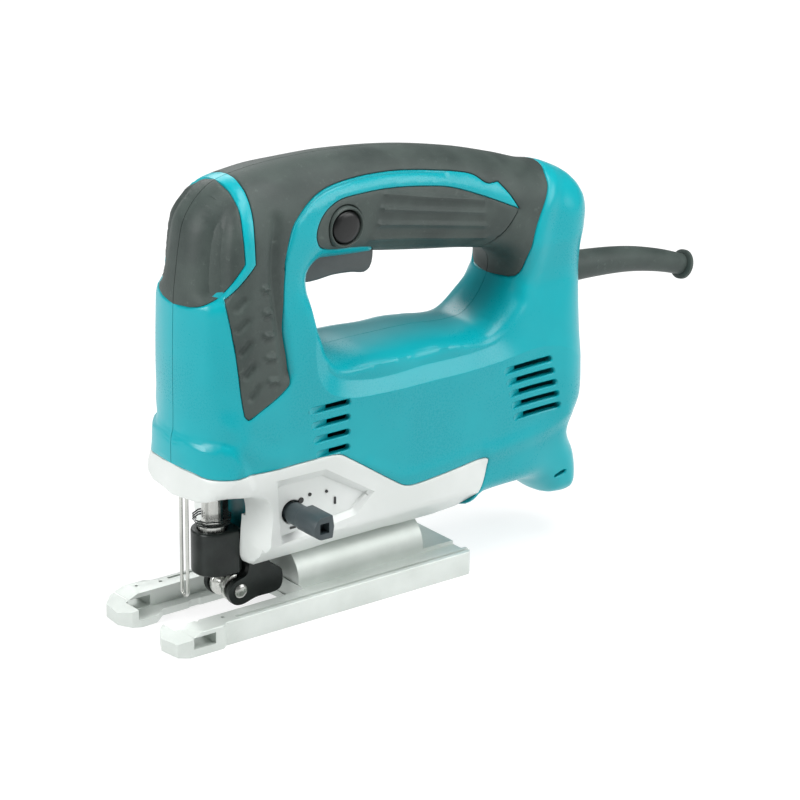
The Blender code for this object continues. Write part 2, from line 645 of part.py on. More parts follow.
def blade_end():
    clamp = ring_solid("blade_clamp_body", 2.6, 6.4, 21.4, 44.2, "Z", (PLUNGER_X, 0, 0), "steel", 20)
    set_origin(clamp, (PLUNGER_X, 0, 32))
    sleeve = [(10.2 * cos(radians(a)), 10.2 * sin(radians(a))) for a in range(-80, 81, 20)]
    sleeve += [(-6, 10.2), (-9.4, 7.5), (-9.4, -7.5), (-6, -10.2)]
    collar = prism("blade_clamp_sleeve", [(PLUNGER_X - 1 + a, b) for a, b in sleeve], "Z", 20.6, 44.6,
                   "black")
    combine(collar, rod("cut_sleeve", 6.8, 15, 50, "Z", (PLUNGER_X, 0, 0), None, 20, True), "DIFFERENCE")
    set_origin(collar, (PLUNGER_X, 0, 32))
    spring = coil("clamp_spring", 8.4, 0.35, 45.2, 48.6, 3, "Z", (PLUNGER_X, 0, 0), "steel")
    set_origin(spring, (PLUNGER_X, 0, 47))

    arm = [(20.5, 46), (29.5, 46), (31, 30), (31.5, 22.5), (33, 19.9), (37.5, 18.6), (41.5, 16),
           (42, 12), (39.5, 8), (35, 7), (28, 8.6), (13, 9), (12.4, 19.6), (20, 24)]
    fork = prism("retainer_fork", arm, "Y", -9.6, 9.6, "black")
    gap_room = block("cut_fork_middle", (26.5, -7, 5), (50, 7, 60), None, True)
    combine(fork, gap_room, "DIFFERENCE")
    guide_room = block("cut_fork_guide", (10, -7, 22.6), (50, 7, 60), None, True)
    combine(fork, guide_room, "DIFFERENCE")
    pin_hole = rod("cut_fork_pin", 2.3, -20, 20, "Y", (ROLLER_X, 0, ROLLER_Z), None, 14, True)
    combine(fork, pin_hole, "DIFFERENCE")
    pivot_hole = rod("cut_fork_pivot", 1.8, -20, 20, "Y", (FORK_X, 0, FORK_Z), None, 12, True)
    combine(fork, pivot_hole, "DIFFERENCE")
    set_origin(fork, (FORK_X, 0, FORK_Z))
    pin = turned("roller_pin", [(-10.6, 0), (-10.6, 1.9), (9.7, 1.9), (9.7, 3.1), (10.6, 2.6), (11, 0)],
                 "Y", (ROLLER_X, 0, ROLLER_Z), "steel", 16)
    set_origin(pin, (ROLLER_X, 0, ROLLER_Z))
    roller = turned("guide_roller", [(-5.4, 2.3), (-5.4, 6), (-3.6, 6.2), (-1, 3.9), (1, 3.9), (3.6, 6.2),
                                     (5.4, 6), (5.4, 2.3)], "Y", (ROLLER_X, 0, ROLLER_Z), "steel", 24)
    set_origin(roller, (ROLLER_X, 0, ROLLER_Z))
    rod("fork_pivot_pin", 1.5, -10.2, 10.2, "Y", (FORK_X, 0, FORK_Z), "steel", 12)
    guide = [(19.5, 24), (25.5, 24), (30.4, 27), (30.8, 50), (30.8, 61), (23.5, 61), (19.5, 56)]
    dust_guide = prism("dust_guide", guide, "Y", -6.6, 6.6, "teal")
    pivot_room = rod("cut_guide_pivot", 1.8, -20, 20, "Y", (FORK_X, 0, FORK_Z), None, 12, True)
    combine(dust_guide, pivot_room, "DIFFERENCE")

    bend = [Vector((58.6, 2.2 * cos(radians(a)), 16.4 + 2.2 * sin(radians(a))))
            for a in range(180, 361, 30)]
    legs = [Vector((58.6, -2.2, 62)), Vector((58.6, -2.2, 40))]
    path = legs + bend + [Vector((58.6, 2.2, 40)), Vector((58.6, 2.2, 62))]
    tube("guard_wire", path, [0.8] * len(path), 0, "steel", 10)


def orbital_lever():
    """The selector and its camshaft are one piece: a round shank, then a flat-sided bar."""
    shank = turned("orbital_lever", [(22, 0), (22, 3.9), (28, 3.9), (28, 4.9), (35, 4.9), (35, 0)], "Y",
                   (LEVER_X, 0, LEVER_Z), "slate", 20)
    bar = [(LEVER_X + 5.4 * cos(radians(a)), LEVER_Z + 5.4 * sin(radians(a))) for a in range(-75, 76, 15)]
    bar += [(LEVER_X - 4.4, LEVER_Z + 5.3), (LEVER_X - 5.2, LEVER_Z), (LEVER_X - 4.4, LEVER_Z - 5.3)]
    combine(shank, prism("lever_bar", bar, "Y", 33, 50.4, None, True), "UNION")
    socket = block("cut_lever_socket", (LEVER_X - 2.4, 46, LEVER_Z - 2.4),
                   (LEVER_X + 2.4, 60, LEVER_Z + 2.4), None, True)
    combine(shank, socket, "DIFFERENCE")
    set_origin(shank, (LEVER_X, 30, LEVER_Z))
    link = [(16, 36), (19, 36), (19, 31.4), (16, 31.4)]
    prism("orbital_push_link", link, "Y", -15, 15, "steel")


# ---------------------------------------------------------------- base

def base():
    half = [(-77.5, 0), (-77.5, 26.5), (-75, 29), (57, 29), (59.5, 31), (77, 31), (81.5, 27.5),
            (82.6, 17), (79, 10.5), (75, 8.6), (67, 9), (61, 13.8), (14, 14), (10, 11), (9.2, 0)]
    plate = prism("base_plate", mirrored(half), "Z", 0, 11, "cast")
    combine(plate, block("cut_tray", (9, -19.5, 3.5), (76.5, 19.5, 20), None, True), "DIFFERENCE")
    combine(plate, block("cut_fence", (63.8, -40, 4.4), (75.2, 40, 9.7), None, True), "DIFFERENCE")
    hump = [(HUMP_R * cos(radians(a)), TILT_Z + HUMP_R * sin(radians(a))) for a in range(0, 181, 12)]
    hump += [(-HUMP_R, 5), (HUMP_R, 5)]
    combine(plate, prism("hump", hump, "X", -60, 8.4, None, True), "UNION")
    well = rod("cut_screw_well", 3.4, -2, 40, "Z", (-22, 0, 0), None, 16, True)
    combine(plate, well, "DIFFERENCE")
    set_origin(plate, (0, 0, TILT_Z))
    screw = turned("base_screw", [(2, 0), (2, 2.6), (22, 2.6), (22, 0)], "Z", (-22, 0, 0), "steel", 16)
    set_origin(screw, (-22, 0, 12))


def main():
    clear_scene()
    rings = zone_rings()
    mouldings(rings)
    housing_screws()
    gear_housing(rings["gear_housing"])
    controls()
    cord_outlet()
    motor()
    gear_train()
    plunger()
    blade_end()
    orbital_lever()
    base()


main()
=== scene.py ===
import json
from math import cos, pi, radians, sin

import bmesh
import bpy
import numpy as np
from mathutils import Matrix, Vector
from mathutils.geometry import delaunay_2d_cdt
from mathutils.kdtree import KDTree


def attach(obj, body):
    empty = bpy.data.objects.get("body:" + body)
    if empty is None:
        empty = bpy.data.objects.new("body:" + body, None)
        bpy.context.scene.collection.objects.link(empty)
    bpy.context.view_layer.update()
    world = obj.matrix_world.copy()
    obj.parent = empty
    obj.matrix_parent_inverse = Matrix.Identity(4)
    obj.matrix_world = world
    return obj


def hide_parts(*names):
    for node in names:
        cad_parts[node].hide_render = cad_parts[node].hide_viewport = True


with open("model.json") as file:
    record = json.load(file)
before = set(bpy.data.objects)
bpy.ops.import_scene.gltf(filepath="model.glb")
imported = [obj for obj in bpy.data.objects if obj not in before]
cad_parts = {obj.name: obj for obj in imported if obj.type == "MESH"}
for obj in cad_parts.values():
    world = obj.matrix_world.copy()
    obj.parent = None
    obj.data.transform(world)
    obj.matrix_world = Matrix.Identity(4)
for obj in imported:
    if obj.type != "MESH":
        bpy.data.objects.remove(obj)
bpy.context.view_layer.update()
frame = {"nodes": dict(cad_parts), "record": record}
# lengths are in millimetres until a mesh is finished
mm = 0.001


# a shader socket that can be added and multiplied
class Wire:
    def __init__(self, finish, socket):
        self.finish = finish
        self.socket = socket

    def math(self, operation, other):
        return self.finish.node("ShaderNodeMath", {"operation": operation}, [self, other])

    def __add__(self, other):
        return self.math("ADD", other)

    def __mul__(self, other):
        return self.math("MULTIPLY", other)

    __radd__ = __add__
    __rmul__ = __mul__

    def ramp(self, low, high, toLow=0.0, toHigh=1.0):
        return self.finish.node("ShaderNodeMapRange", {"interpolation_type": "SMOOTHSTEP"},
                                [self, low, high, toLow, toHigh])


# one material and its nodes
class Finish:
    def __init__(self, name):
        self.material = bpy.data.materials.new(name)
        self.material.use_nodes = True
        self.tree = self.material.node_tree
        self.shader = self.tree.nodes["Principled BSDF"]
        self.place = self.node("ShaderNodeTexCoord", {}, [], "Object")

    def node(self, kind, settings, values, output=0):
        made = self.tree.nodes.new(kind)
        for key, value in settings.items():
            setattr(made, key, value)
        pairs = values.items() if isinstance(values, dict) else enumerate(values)
        for key, value in pairs:
            if isinstance(value, Wire):
                self.tree.links.new(value.socket, made.inputs[key])
            else:
                made.inputs[key].default_value = value
        return Wire(self, made.outputs[output])

    def noise(self, scale, detail=3.0, rough=0.55, stretch=(1, 1, 1), offset=(0, 0, 0)):
        moved = self.node("ShaderNodeMapping", {},
                          {"Vector": self.place, "Scale": stretch, "Location": offset})
        return self.node("ShaderNodeTexNoise", {},
                         {"Vector": moved, "Scale": scale, "Detail": detail, "Roughness": rough})

    def cells(self, scale):
        return self.node("ShaderNodeTexVoronoi", {}, {"Vector": self.place, "Scale": scale}, "Distance")

    def mix(self, share, one, two):
        return self.node("ShaderNodeMix", {"data_type": "RGBA"}, {0: share, 6: one, 7: two}, 2)

    def bump(self, height, distance):
        return self.node("ShaderNodeBump", {}, {"Height": height, "Distance": distance, "Strength": 1.0})

    def drive(self, **sockets):
        for key, value in sockets.items():
            socket = self.shader.inputs[key.replace("_", " ")]
            if isinstance(value, Wire):
                self.tree.links.new(value.socket, socket)
            else:
                socket.default_value = value


# linear colour from display values out of 255, none of them near black
def rgb(red, green, blue):
    return tuple(((v / 255 + 0.055) / 1.055) ** 2.4 for v in (red, green, blue)) + (1.0,)


# moulded plastic or elastomer: patchy tint, fine grain, a little dust
def polymer(name, settings):
    finish = Finish(name)
    patches = finish.noise(settings["patch"], 4.0)
    grain = finish.noise(settings["grain"], 2.0, 0.6)
    dust = finish.noise(settings["patch"] * 5, 5.0, 0.7, offset=(3, 1, 2)).ramp(0.58, 0.78)
    base = finish.mix(patches.ramp(0.32, 0.68), settings["dark"], settings["light"])
    colour = finish.mix(dust * settings["dust"], base, settings["bloom"])
    rough = patches.ramp(0.3, 0.7, *settings["rough"]) + grain.ramp(0.3, 0.7) * 0.05
    finish.drive(Base_Color=colour, Roughness=rough, Specular_IOR_Level=settings["shine"],
                 Normal=finish.bump(grain, settings["depth"]))
    return finish.material


# metal or metallic lacquer: grain along one direction, stains, fine pits
def metal(name, settings):
    finish = Finish(name)
    patches = finish.noise(settings["patch"], 4.0)
    grain = finish.noise(settings["grain"], 3.0, 0.6, settings["stretch"])
    base = finish.mix(patches.ramp(0.3, 0.7), settings["dark"], settings["light"])
    speck = finish.cells(settings["grain"] * 0.35).ramp(0.02, 0.12, 1.0, 0.0)
    colour = finish.mix(speck * settings["pits"], base, settings["pitTint"])
    rough = grain.ramp(0.25, 0.75, *settings["rough"]) + patches * 0.06
    finish.drive(Base_Color=colour, Roughness=rough, Metallic=settings["metallic"],
                 Normal=finish.bump(grain, settings["depth"]))
    return finish.material


# patch and grain are noise scales per metre, depth is the bump's in metres
tealSettings = {
    "patch": 14.0, "grain": 1500.0, "dust": 0.10, "shine": 0.34, "depth": 0.000003, "rough": (0.25, 0.31),
    "dark": (0.0, 0.31, 0.36, 1), "light": (0.0, 0.355, 0.405, 1), "bloom": (0.01, 0.41, 0.46, 1)}
gripSettings = {
    "patch": 55.0, "grain": 1300.0, "dust": 0.45, "shine": 0.4, "depth": 0.00006, "rough": (0.46, 0.58),
    "dark": (0.030, 0.043, 0.039, 1), "light": (0.048, 0.066, 0.059, 1), "bloom": (0.12, 0.155, 0.135, 1)}
blackSettings = {
    "patch": 40.0, "grain": 1200.0, "dust": 0.15, "shine": 0.5, "depth": 0.00002, "rough": (0.3, 0.4),
    "dark": rgb(15, 18, 17), "light": rgb(23, 27, 26), "bloom": rgb(60, 68, 66)}
# painted shade: the dust guide's teal is darkened to about a third, as the guide lies in shade
shadedGuideSettings = dict(tealSettings, dark=(0.0, 0.11, 0.13, 1), light=(0.0, 0.13, 0.15, 1),
                     bloom=(0.01, 0.2, 0.22, 1))
buttonSettings = dict(blackSettings, dark=(0.003, 0.004, 0.004, 1), light=(0.006, 0.007, 0.007, 1),
                      dust=0.05, shine=0.4)
triggerSettings = dict(blackSettings, dark=rgb(62, 69, 69), light=rgb(74, 80, 80), rough=(0.42, 0.5))
slateSettings = dict(blackSettings, dark=rgb(44, 55, 59), light=rgb(56, 68, 71), rough=(0.36, 0.44))
blackSteelSettings = {
    "patch": 60.0, "grain": 1500.0, "stretch": (1, 1, 1), "pits": 0.25, "metallic": 0.35,
    "rough": (0.32, 0.45), "depth": 0.00003, "dark": rgb(26, 31, 30), "light": rgb(42, 48, 46),
    "pitTint": rgb(70, 76, 74)}
silverSettings = {
    "patch": 20.0, "grain": 1600.0, "stretch": (1, 1, 1), "pits": 0.05, "metallic": 0.12,
    "rough": (0.33, 0.42), "depth": 0.00002, "dark": rgb(206, 211, 208), "light": rgb(218, 222, 220),
    "pitTint": rgb(180, 186, 183)}
castSettings = {
    "patch": 26.0, "grain": 1800.0, "stretch": (1, 1, 1), "pits": 0.2, "metallic": 0.4,
    "rough": (0.36, 0.5), "depth": 0.00005, "dark": rgb(196, 203, 198), "light": rgb(214, 220, 216),
    "pitTint": rgb(130, 138, 132)}
steelSettings = {
    "patch": 40.0, "grain": 900.0, "stretch": (1, 1, 0.08), "pits": 0.06, "metallic": 1.0,
    "rough": (0.2, 0.32), "depth": 0.00001, "dark": rgb(178, 180, 176), "light": rgb(206, 208, 203),
    "pitTint": rgb(120, 118, 112)}
copperSettings = dict(steelSettings, dark=rgb(176, 104, 68), light=rgb(200, 126, 84))
brassSettings = dict(steelSettings, dark=rgb(180, 148, 84), light=rgb(206, 172, 104))
carbonSettings = dict(blackSettings, rough=(0.6, 0.7), shine=0.3)
finishes = {
    "teal_plastic": polymer("teal", tealSettings), "grip_elastomer": polymer("elastomer", gripSettings),
    "black_plastic": polymer("black", blackSettings), "slate_plastic": polymer("slate", slateSettings),
    "trigger": polymer("trigger", triggerSettings), "guide": polymer("guide", shadedGuideSettings),
    "button": polymer("button", buttonSettings), "carbon": polymer("carbon", carbonSettings),
    "silver_paint": metal("silver", silverSettings), "cast_aluminium": metal("cast", castSettings),
    "steel": metal("steel", steelSettings), "spring_steel": metal("spring", steelSettings),
    "black_steel": metal("blackSteel", blackSteelSettings), "copper": metal("copper", copperSettings),
    "brass": metal("brass", brassSettings),
}
print("finishes made")


# points along a smooth curve through the given ones; a doubled point is a corner
def smoothLine(points, spacing):
    knots = [Vector(p) for p in points]
    line = []
    for i in range(len(knots) - 1):
        a, b = knots[i], knots[i + 1]
        length = (b - a).length
        if length < 1e-6:
            continue
        before = knots[i - 1] if i > 0 and (a - knots[i - 1]).length > 1e-6 else 2 * a - b
        after = knots[i + 2] if i + 2 < len(knots) and (knots[i + 2] - b).length > 1e-6 else 2 * b - a
        leave = (b - before) * (length / (length + (a - before).length))
        arrive = (after - a) * (length / (length + (after - b).length))
        count = max(1, round(length / spacing))
        for k in range(count):
            t = k / count
            line.append((2 * t**3 - 3 * t * t + 1) * a + (t**3 - 2 * t * t + t) * leave
                        + (3 * t * t - 2 * t**3) * b + (t**3 - t * t) * arrive)
    line.append(knots[-1])
    return np.array([tuple(p) for p in line])


# how far each point is from a line, and where on the line, in batches to save memory
def nearest(line, points):
    batch = 1500
    a = line[:-1]
    e = line[1:] - a
    size = np.maximum((e * e).sum(1), 1e-12)
    far = np.empty(len(points))
    foot = np.empty((len(points), 2))
    for start in range(0, len(points), batch):
        p = points[start:start + batch]
        r = p[:, None, :] - a[None]
        t = np.clip((r * e[None]).sum(2) / size, 0, 1)
        q = a[None] + t[:, :, None] * e[None]
        d = ((p[:, None, :] - q) ** 2).sum(2)
        k = d.argmin(1)
        rows = np.arange(len(p))
        far[start:start + batch] = np.sqrt(d[rows, k])
        foot[start:start + batch] = q[rows, k]
    return far, foot


# which points lie inside a ring
def within(ring, points):
    a, b = ring, np.roll(ring, -1, axis=0)
    x, z = points[:, :1], points[:, 1:]
    crosses = (a[:, 1] > z) != (b[:, 1] > z)
    rise = np.where(np.abs(b[:, 1] - a[:, 1]) < 1e-12, 1e-12, b[:, 1] - a[:, 1])
    left = x < a[:, 0] + (z - a[:, 1]) / rise * (b[:, 0] - a[:, 0])
    return (crosses & left).sum(1) % 2 == 1


def closed(ring):
    return np.vstack([ring, ring[:1]])


# the place on a ring nearest to a point, and the index of the ring's point before it
def footOn(ring, point):
    a = np.array(ring)
    e = np.roll(a, -1, axis=0) - a
    t = np.clip(((point - a) * e).sum(1) / np.maximum((e * e).sum(1), 1e-12), 0, 1)
    q = a + e * t[:, None]
    k = int(((q - point) ** 2).sum(1).argmin())
    return k, q[k]


# the stretch of a ring from near one point to near another, in the ring's own order
def between(ring, start, end):
    first, startFoot = footOn(ring, np.array(start))
    last, endFoot = footOn(ring, np.array(end))
    ahead, endAhead = (np.hypot(*(foot - ring[first])) for foot in (startFoot, endFoot))
    if last < first or (last == first and endAhead < ahead):
        last += len(ring)
    middle = [ring[i % len(ring)] for i in range(first + 1, last + 1)]
    return np.array([startFoot] + middle + [endFoot])


# one ring from several stretches, without repeated points
def joined(*parts):
    least = 0.02
    ring = []
    for part in parts:
        for p in part:
            if not ring or np.hypot(*(p - ring[-1])) > least:
                ring.append(np.array(p, float))
    while np.hypot(*(ring[0] - ring[-1])) <= least:
        ring.pop()
    return np.array(ring)


# a round-ended slot about the line from a to b
def slotRing(a, b, radius):
    spacing = 1.6
    a, b = np.array(a, float), np.array(b, float)
    turn = np.arctan2(b[1] - a[1], b[0] - a[0])
    angles = np.linspace(-pi / 2, pi / 2, 7)
    head = [b + radius * np.array((cos(turn + t), sin(turn + t))) for t in angles]
    tail = [a + radius * np.array((cos(turn + pi + t), sin(turn + pi + t))) for t in angles]
    middle = max(1, int(np.hypot(*(b - a)) / spacing))
    one = [head[-1] + (tail[0] - head[-1]) * k / middle for k in range(1, middle)]
    two = [tail[-1] + (head[0] - tail[-1]) * k / middle for k in range(1, middle)]
    return np.array(head + one + tail + two)


def circleRing(centre, radius, count):
    angles = [2 * pi * k / count for k in range(count)]
    return np.array([(centre[0] + radius * cos(t), centre[1] + radius * sin(t)) for t in angles])


# the crowned body; lines are (x, z) in the tool's side view
body = {
    "lineStep": 1.7, "wall": 3.0, "crown": 2.2, "halfGap": 0.15, "stationBlend": 16.0,
    "outline": [
        (64.6, 62.5), (64.6, 62.5), (64.9, 78), (64.7, 88.5), (63.6, 92.5), (63.4, 120), (62.5, 151),
        (61.1, 163), (59.7, 172.5), (57, 184), (50.5, 193), (42, 198.6), (26, 201.5), (8, 202.4),
        (-20, 201.6), (-51.5, 198),
        (-85, 191), (-108, 184.2), (-124, 178.6), (-132, 176.8), (-139, 174), (-147.5, 169),
        (-153, 162.5), (-155, 155), (-154.5, 147), (-153, 138), (-151.8, 128), (-151, 112),
        (-151.3, 85), (-150.8, 68), (-147, 57), (-144.5, 50.5), (-148, 41), (-149.5, 32), (-149, 24),
        (-146, 19.5), (-141, 18), (-133, 19), (-126, 24), (-119, 29), (-110, 30.5), (-88, 30.5),
        (-88, 30.5), (-76, 28), (-70, 27), (-70, 27), (35, 27), (35, 27), (37, 31), (36.5, 42),
        (35.8, 54), (38, 60.5), (44, 62.5), (44, 62.5), (64.6, 62.5)],
    "opening": [
        (4.3, 148), (3, 138), (0, 127), (-4, 118), (-10, 114.6), (-30, 114.2), (-60, 113.6),
        (-82, 111.6), (-92, 112.6), (-100, 119), (-105.5, 128), (-106.2, 136), (-102, 141.5),
        (-92, 144), (-75, 147), (-57, 149.8), (-42, 152.4), (-35, 153.8), (-15, 155.4), (-2, 156.5),
        (3, 154), (4.3, 148)],
    # x, z, half width and edge radius there
    "stations": [
        (62, 75, 30, 30), (62, 110, 30, 30), (62, 145, 30, 30), (57, 180, 29, 28), (30, 200, 24, 24),
        (0, 203, 19, 22), (-40, 200, 18, 21), (-90, 190, 18, 21), (-135, 172, 19, 20),
        (-154, 150, 21, 20), (-151, 110, 27, 25), (-151, 75, 29, 26), (-146, 45, 22, 14),
        (-140, 20, 19, 9), (-100, 31, 26, 12), (-60, 28, 29, 3), (20, 28, 29, 3), (36, 45, 29, 3),
        (42, 62, 30, 2), (62, 62, 30, 2), (4, 140, 29, 6), (0, 120, 30, 5), (-30, 114, 30, 4.5),
        (-70, 113, 29, 4.5), (-98, 118, 27, 7), (-106, 135, 22, 14), (-85, 145, 18, 20),
        (-50, 150, 18, 20), (-10, 156, 19, 18), (8, 158, 25, 16)],
    "nose": [(40.5, 198.9), (42, 190), (43.6, 181), (43.8, 169), (43.8, 169), (54, 155), (54, 155),
             (60, 150), (62.6, 148.5)],
    "strip": [(34.5, 200.4), (36.5, 190), (38.5, 179), (38.8, 168), (38.8, 168), (52.6, 154),
              (52.6, 154), (49.5, 131.7), (46.3, 102.5), (44.5, 100.5), (44.5, 100.5), (23.5, 111.5),
              (23.3, 121), (25, 136), (24, 149), (22.9, 158.4), (20.8, 170.6), (15.6, 181.6),
              (2, 189.8), (-14.7, 192.8), (-38, 192), (-56.4, 189.5), (-73, 186), (-73, 186),
              (-85, 182.3), (-92.2, 177.2), (-98.4, 176.7), (-98.4, 176.7), (-103, 171), (-108, 163.2),
              (-108, 163.2)],
    "palm": [(-108, 163.2), (-108, 163.2), (-90.1, 171.7), (-71.1, 179.5), (-54.1, 183.1),
             (-35.7, 185.4), (-18, 186.2), (-9.7, 185.7), (-2.5, 182.8), (2.3, 178.4), (4.6, 172.6),
             (2.4, 167.6), (-7.5, 163.2), (-20.4, 161.4), (-30, 159), (-36, 153.9)],
    "rear": [(-131.5, 177), (-128.2, 173.5), (-126.6, 169.2), (-121.5, 161.3), (-116.3, 151.5),
             (-113.7, 142.3), (-112, 133.4), (-109.9, 130.3), (-105.9, 129)],
    "seam": [(64.3, 77), (60, 75), (46.8, 75.9), (34.3, 75.2), (11.8, 75), (-0.7, 74.5),
             (-4, 73.9), (-8, 71.6), (-36, 52.9), (-40, 50.9), (-45, 50.3), (-70, 52.2),
             (-84, 53), (-87, 52.2), (-86.9, 49), (-84.6, 41), (-80, 34), (-76, 28)],
}
# the sides sink above the inner line and are level again at the outer one
step = {
    "depth": 3.4, "fadeFrom": 144.0, "fadeOver": 18.0, "fadeBehind": -20.0,
    "outer": [(9.2, 157), (8.8, 146), (8.6, 134), (9.4, 122), (7.5, 111), (1.5, 103.2), (-10, 98.7),
              (-28, 97.3), (-47, 96.6), (-92, 96.4), (-112, 98.2), (-124, 97.5), (-134, 94), (-141, 88),
              (-158, 84)],
    "inner": [(1.5, 150), (1, 138), (0.2, 127), (1.6, 119), (0.4, 112.5), (-4, 108.6), (-11, 105.9),
              (-24.7, 103.7), (-50, 103.6), (-89.9, 103.6), (-97.9, 106.3), (-106.2, 116.2),
              (-111, 123), (-117, 129), (-128, 132), (-141, 131), (-158, 128)],
    "floorEnd": [(-158, 154), (-80, 152), (-80, 134), (-4, 134)],
}
stepOuter, stepInner = smoothLine(step["outer"], 1.4), smoothLine(step["inner"], 1.4)
stepBand = np.vstack([stepOuter, stepInner[::-1]])
stepFloor = np.vstack([stepInner, step["floorEnd"]])
outlineRing = smoothLine(body["outline"], body["lineStep"])[:-1]
openingRing = smoothLine(body["opening"], body["lineStep"])[:-1]
closedOutline, closedOpening = closed(outlineRing), closed(openingRing)
seamNames = ("nose", "strip", "palm", "rear", "seam")
seamLines = {name: smoothLine(body[name], body["lineStep"]) for name in seamNames}
stations = np.array(body["stations"], float)

# the ends of the seams move onto the outline or the opening
for name, end, ring in (("nose", 0, outlineRing), ("nose", -1, outlineRing), ("strip", 0, outlineRing),
                        ("palm", -1, openingRing), ("rear", 0, outlineRing), ("rear", -1, openingRing),
                        ("seam", 0, outlineRing), ("seam", -1, outlineRing)):
    seamLines[name][end] = footOn(ring, seamLines[name][end])[1]


def stepDepth(points):
    outer, inner = nearest(stepOuter, points)[0], nearest(stepInner, points)[0]
    share = np.where(within(stepBand, points), outer / (outer + inner), 0)
    share = np.where(within(stepFloor, points), 1, share)
    fade = np.clip((step["fadeFrom"] - points[:, 1]) / step["fadeOver"], 0, 1)
    return share * np.where(points[:, 0] < step["fadeBehind"], fade, 1) * step["depth"]


# half width and edge radius of the body, from the stations around each point
def section(points):
    d = ((points[:, None, :] - stations[None, :, :2]) ** 2).sum(2)
    weight = 1 / (d + body["stationBlend"] ** 2) ** 2
    weight /= weight.sum(1, keepdims=True)
    return weight @ stations[:, 2] - stepDepth(points), weight @ stations[:, 3]


# how far the outline or the opening is, whichever is nearer, and its nearest place
def edgeOf(points):
    one = nearest(closedOutline, points)
    two = nearest(closedOpening, points)
    closer = one[0] < two[0]
    return np.where(closer, one[0], two[0]), np.where(closer[:, None], one[1], two[1])


# the slopes under the gear housing: the half width left at a height
chamfer = {"z": 27.0, "half": 15.0, "slope": 14 / 12, "least": 4.0}


def chamferHeight(points, depth=0.0):
    rise = (points[:, 1] - chamfer["z"]) * chamfer["slope"]
    return np.maximum(chamfer["half"] + rise - depth, chamfer["least"])


# half width of the surface that lies a depth inside the body
def bodyHeight(points, edge, depth, chamfered):
    width, radius = section(points)
    turn = np.clip((edge - depth) / np.maximum(radius - depth, 1.0), 0, 1)
    y = (width - depth) * (1 - (1 - turn) ** body["crown"]) ** (1 / body["crown"])
    return np.minimum(y, chamferHeight(points, depth)) if chamfered else y


# half width and unit normal of the left side at each point
def bodySurface(points, edge, foot, chamfered):
    crown = body["crown"]
    width, radius = section(points)
    # never quite at the rim, where the slope has no limit
    turn = np.clip(edge / radius, 1e-4, 1)
    rise = (1 - (1 - turn) ** crown) ** (1 / crown)
    steep = np.where(edge < radius, (1 - turn) ** (crown - 1) * rise ** (1 - crown), 0)
    inwards = (points - foot) / np.maximum(edge, 1e-6)[:, None]
    slope = inwards * (width * steep / radius)[:, None]
    for axis in (0, 1):
        nudge = np.zeros(2)
        nudge[axis] = 0.5
        (wider, rounder), (narrower, sharper) = section(points + nudge), section(points - nudge)
        slope[:, axis] += rise * (wider - narrower) - width * steep * turn / radius * (rounder - sharper)
    normal = np.stack([-slope[:, 0], np.ones(len(points)), -slope[:, 1]], 1)
    y = width * np.where(edge <= 0, 0, (1 - (1 - np.clip(edge / radius, 0, 1)) ** crown) ** (1 / crown))
    if chamfered:
        limit = chamferHeight(points)
        normal = np.where((y > limit)[:, None], np.array([0, 1, -chamfer["slope"]]), normal)
        y = np.minimum(y, limit)
    return y, normal / np.linalg.norm(normal, axis=1, keepdims=True)


# the grip and the palm insert meet along a straight line from here to the opening
palmTop, palmFoot = (-108, 163.2), (-92, 144)
palmSteps = 12
zoneRings = {
    "nose_cap": joined(between(outlineRing, body["nose"][-1], body["nose"][0]), seamLines["nose"]),
    "grip": joined(between(outlineRing, body["strip"][0], body["rear"][0]), seamLines["rear"],
                   between(openingRing, body["rear"][-1], palmFoot), [palmTop], seamLines["strip"][::-1]),
    "palm_insert": joined(seamLines["palm"], between(openingRing, palmFoot, body["palm"][-1])[::-1]),
    "gear_housing": joined(between(outlineRing, body["seam"][-1], body["seam"][0]), seamLines["seam"]),
}
palmEnd = footOn(openingRing, np.array(palmFoot))[1]
palmSplit = np.array([palmTop + (palmEnd - palmTop) * k / palmSteps for k in range(palmSteps + 1)])

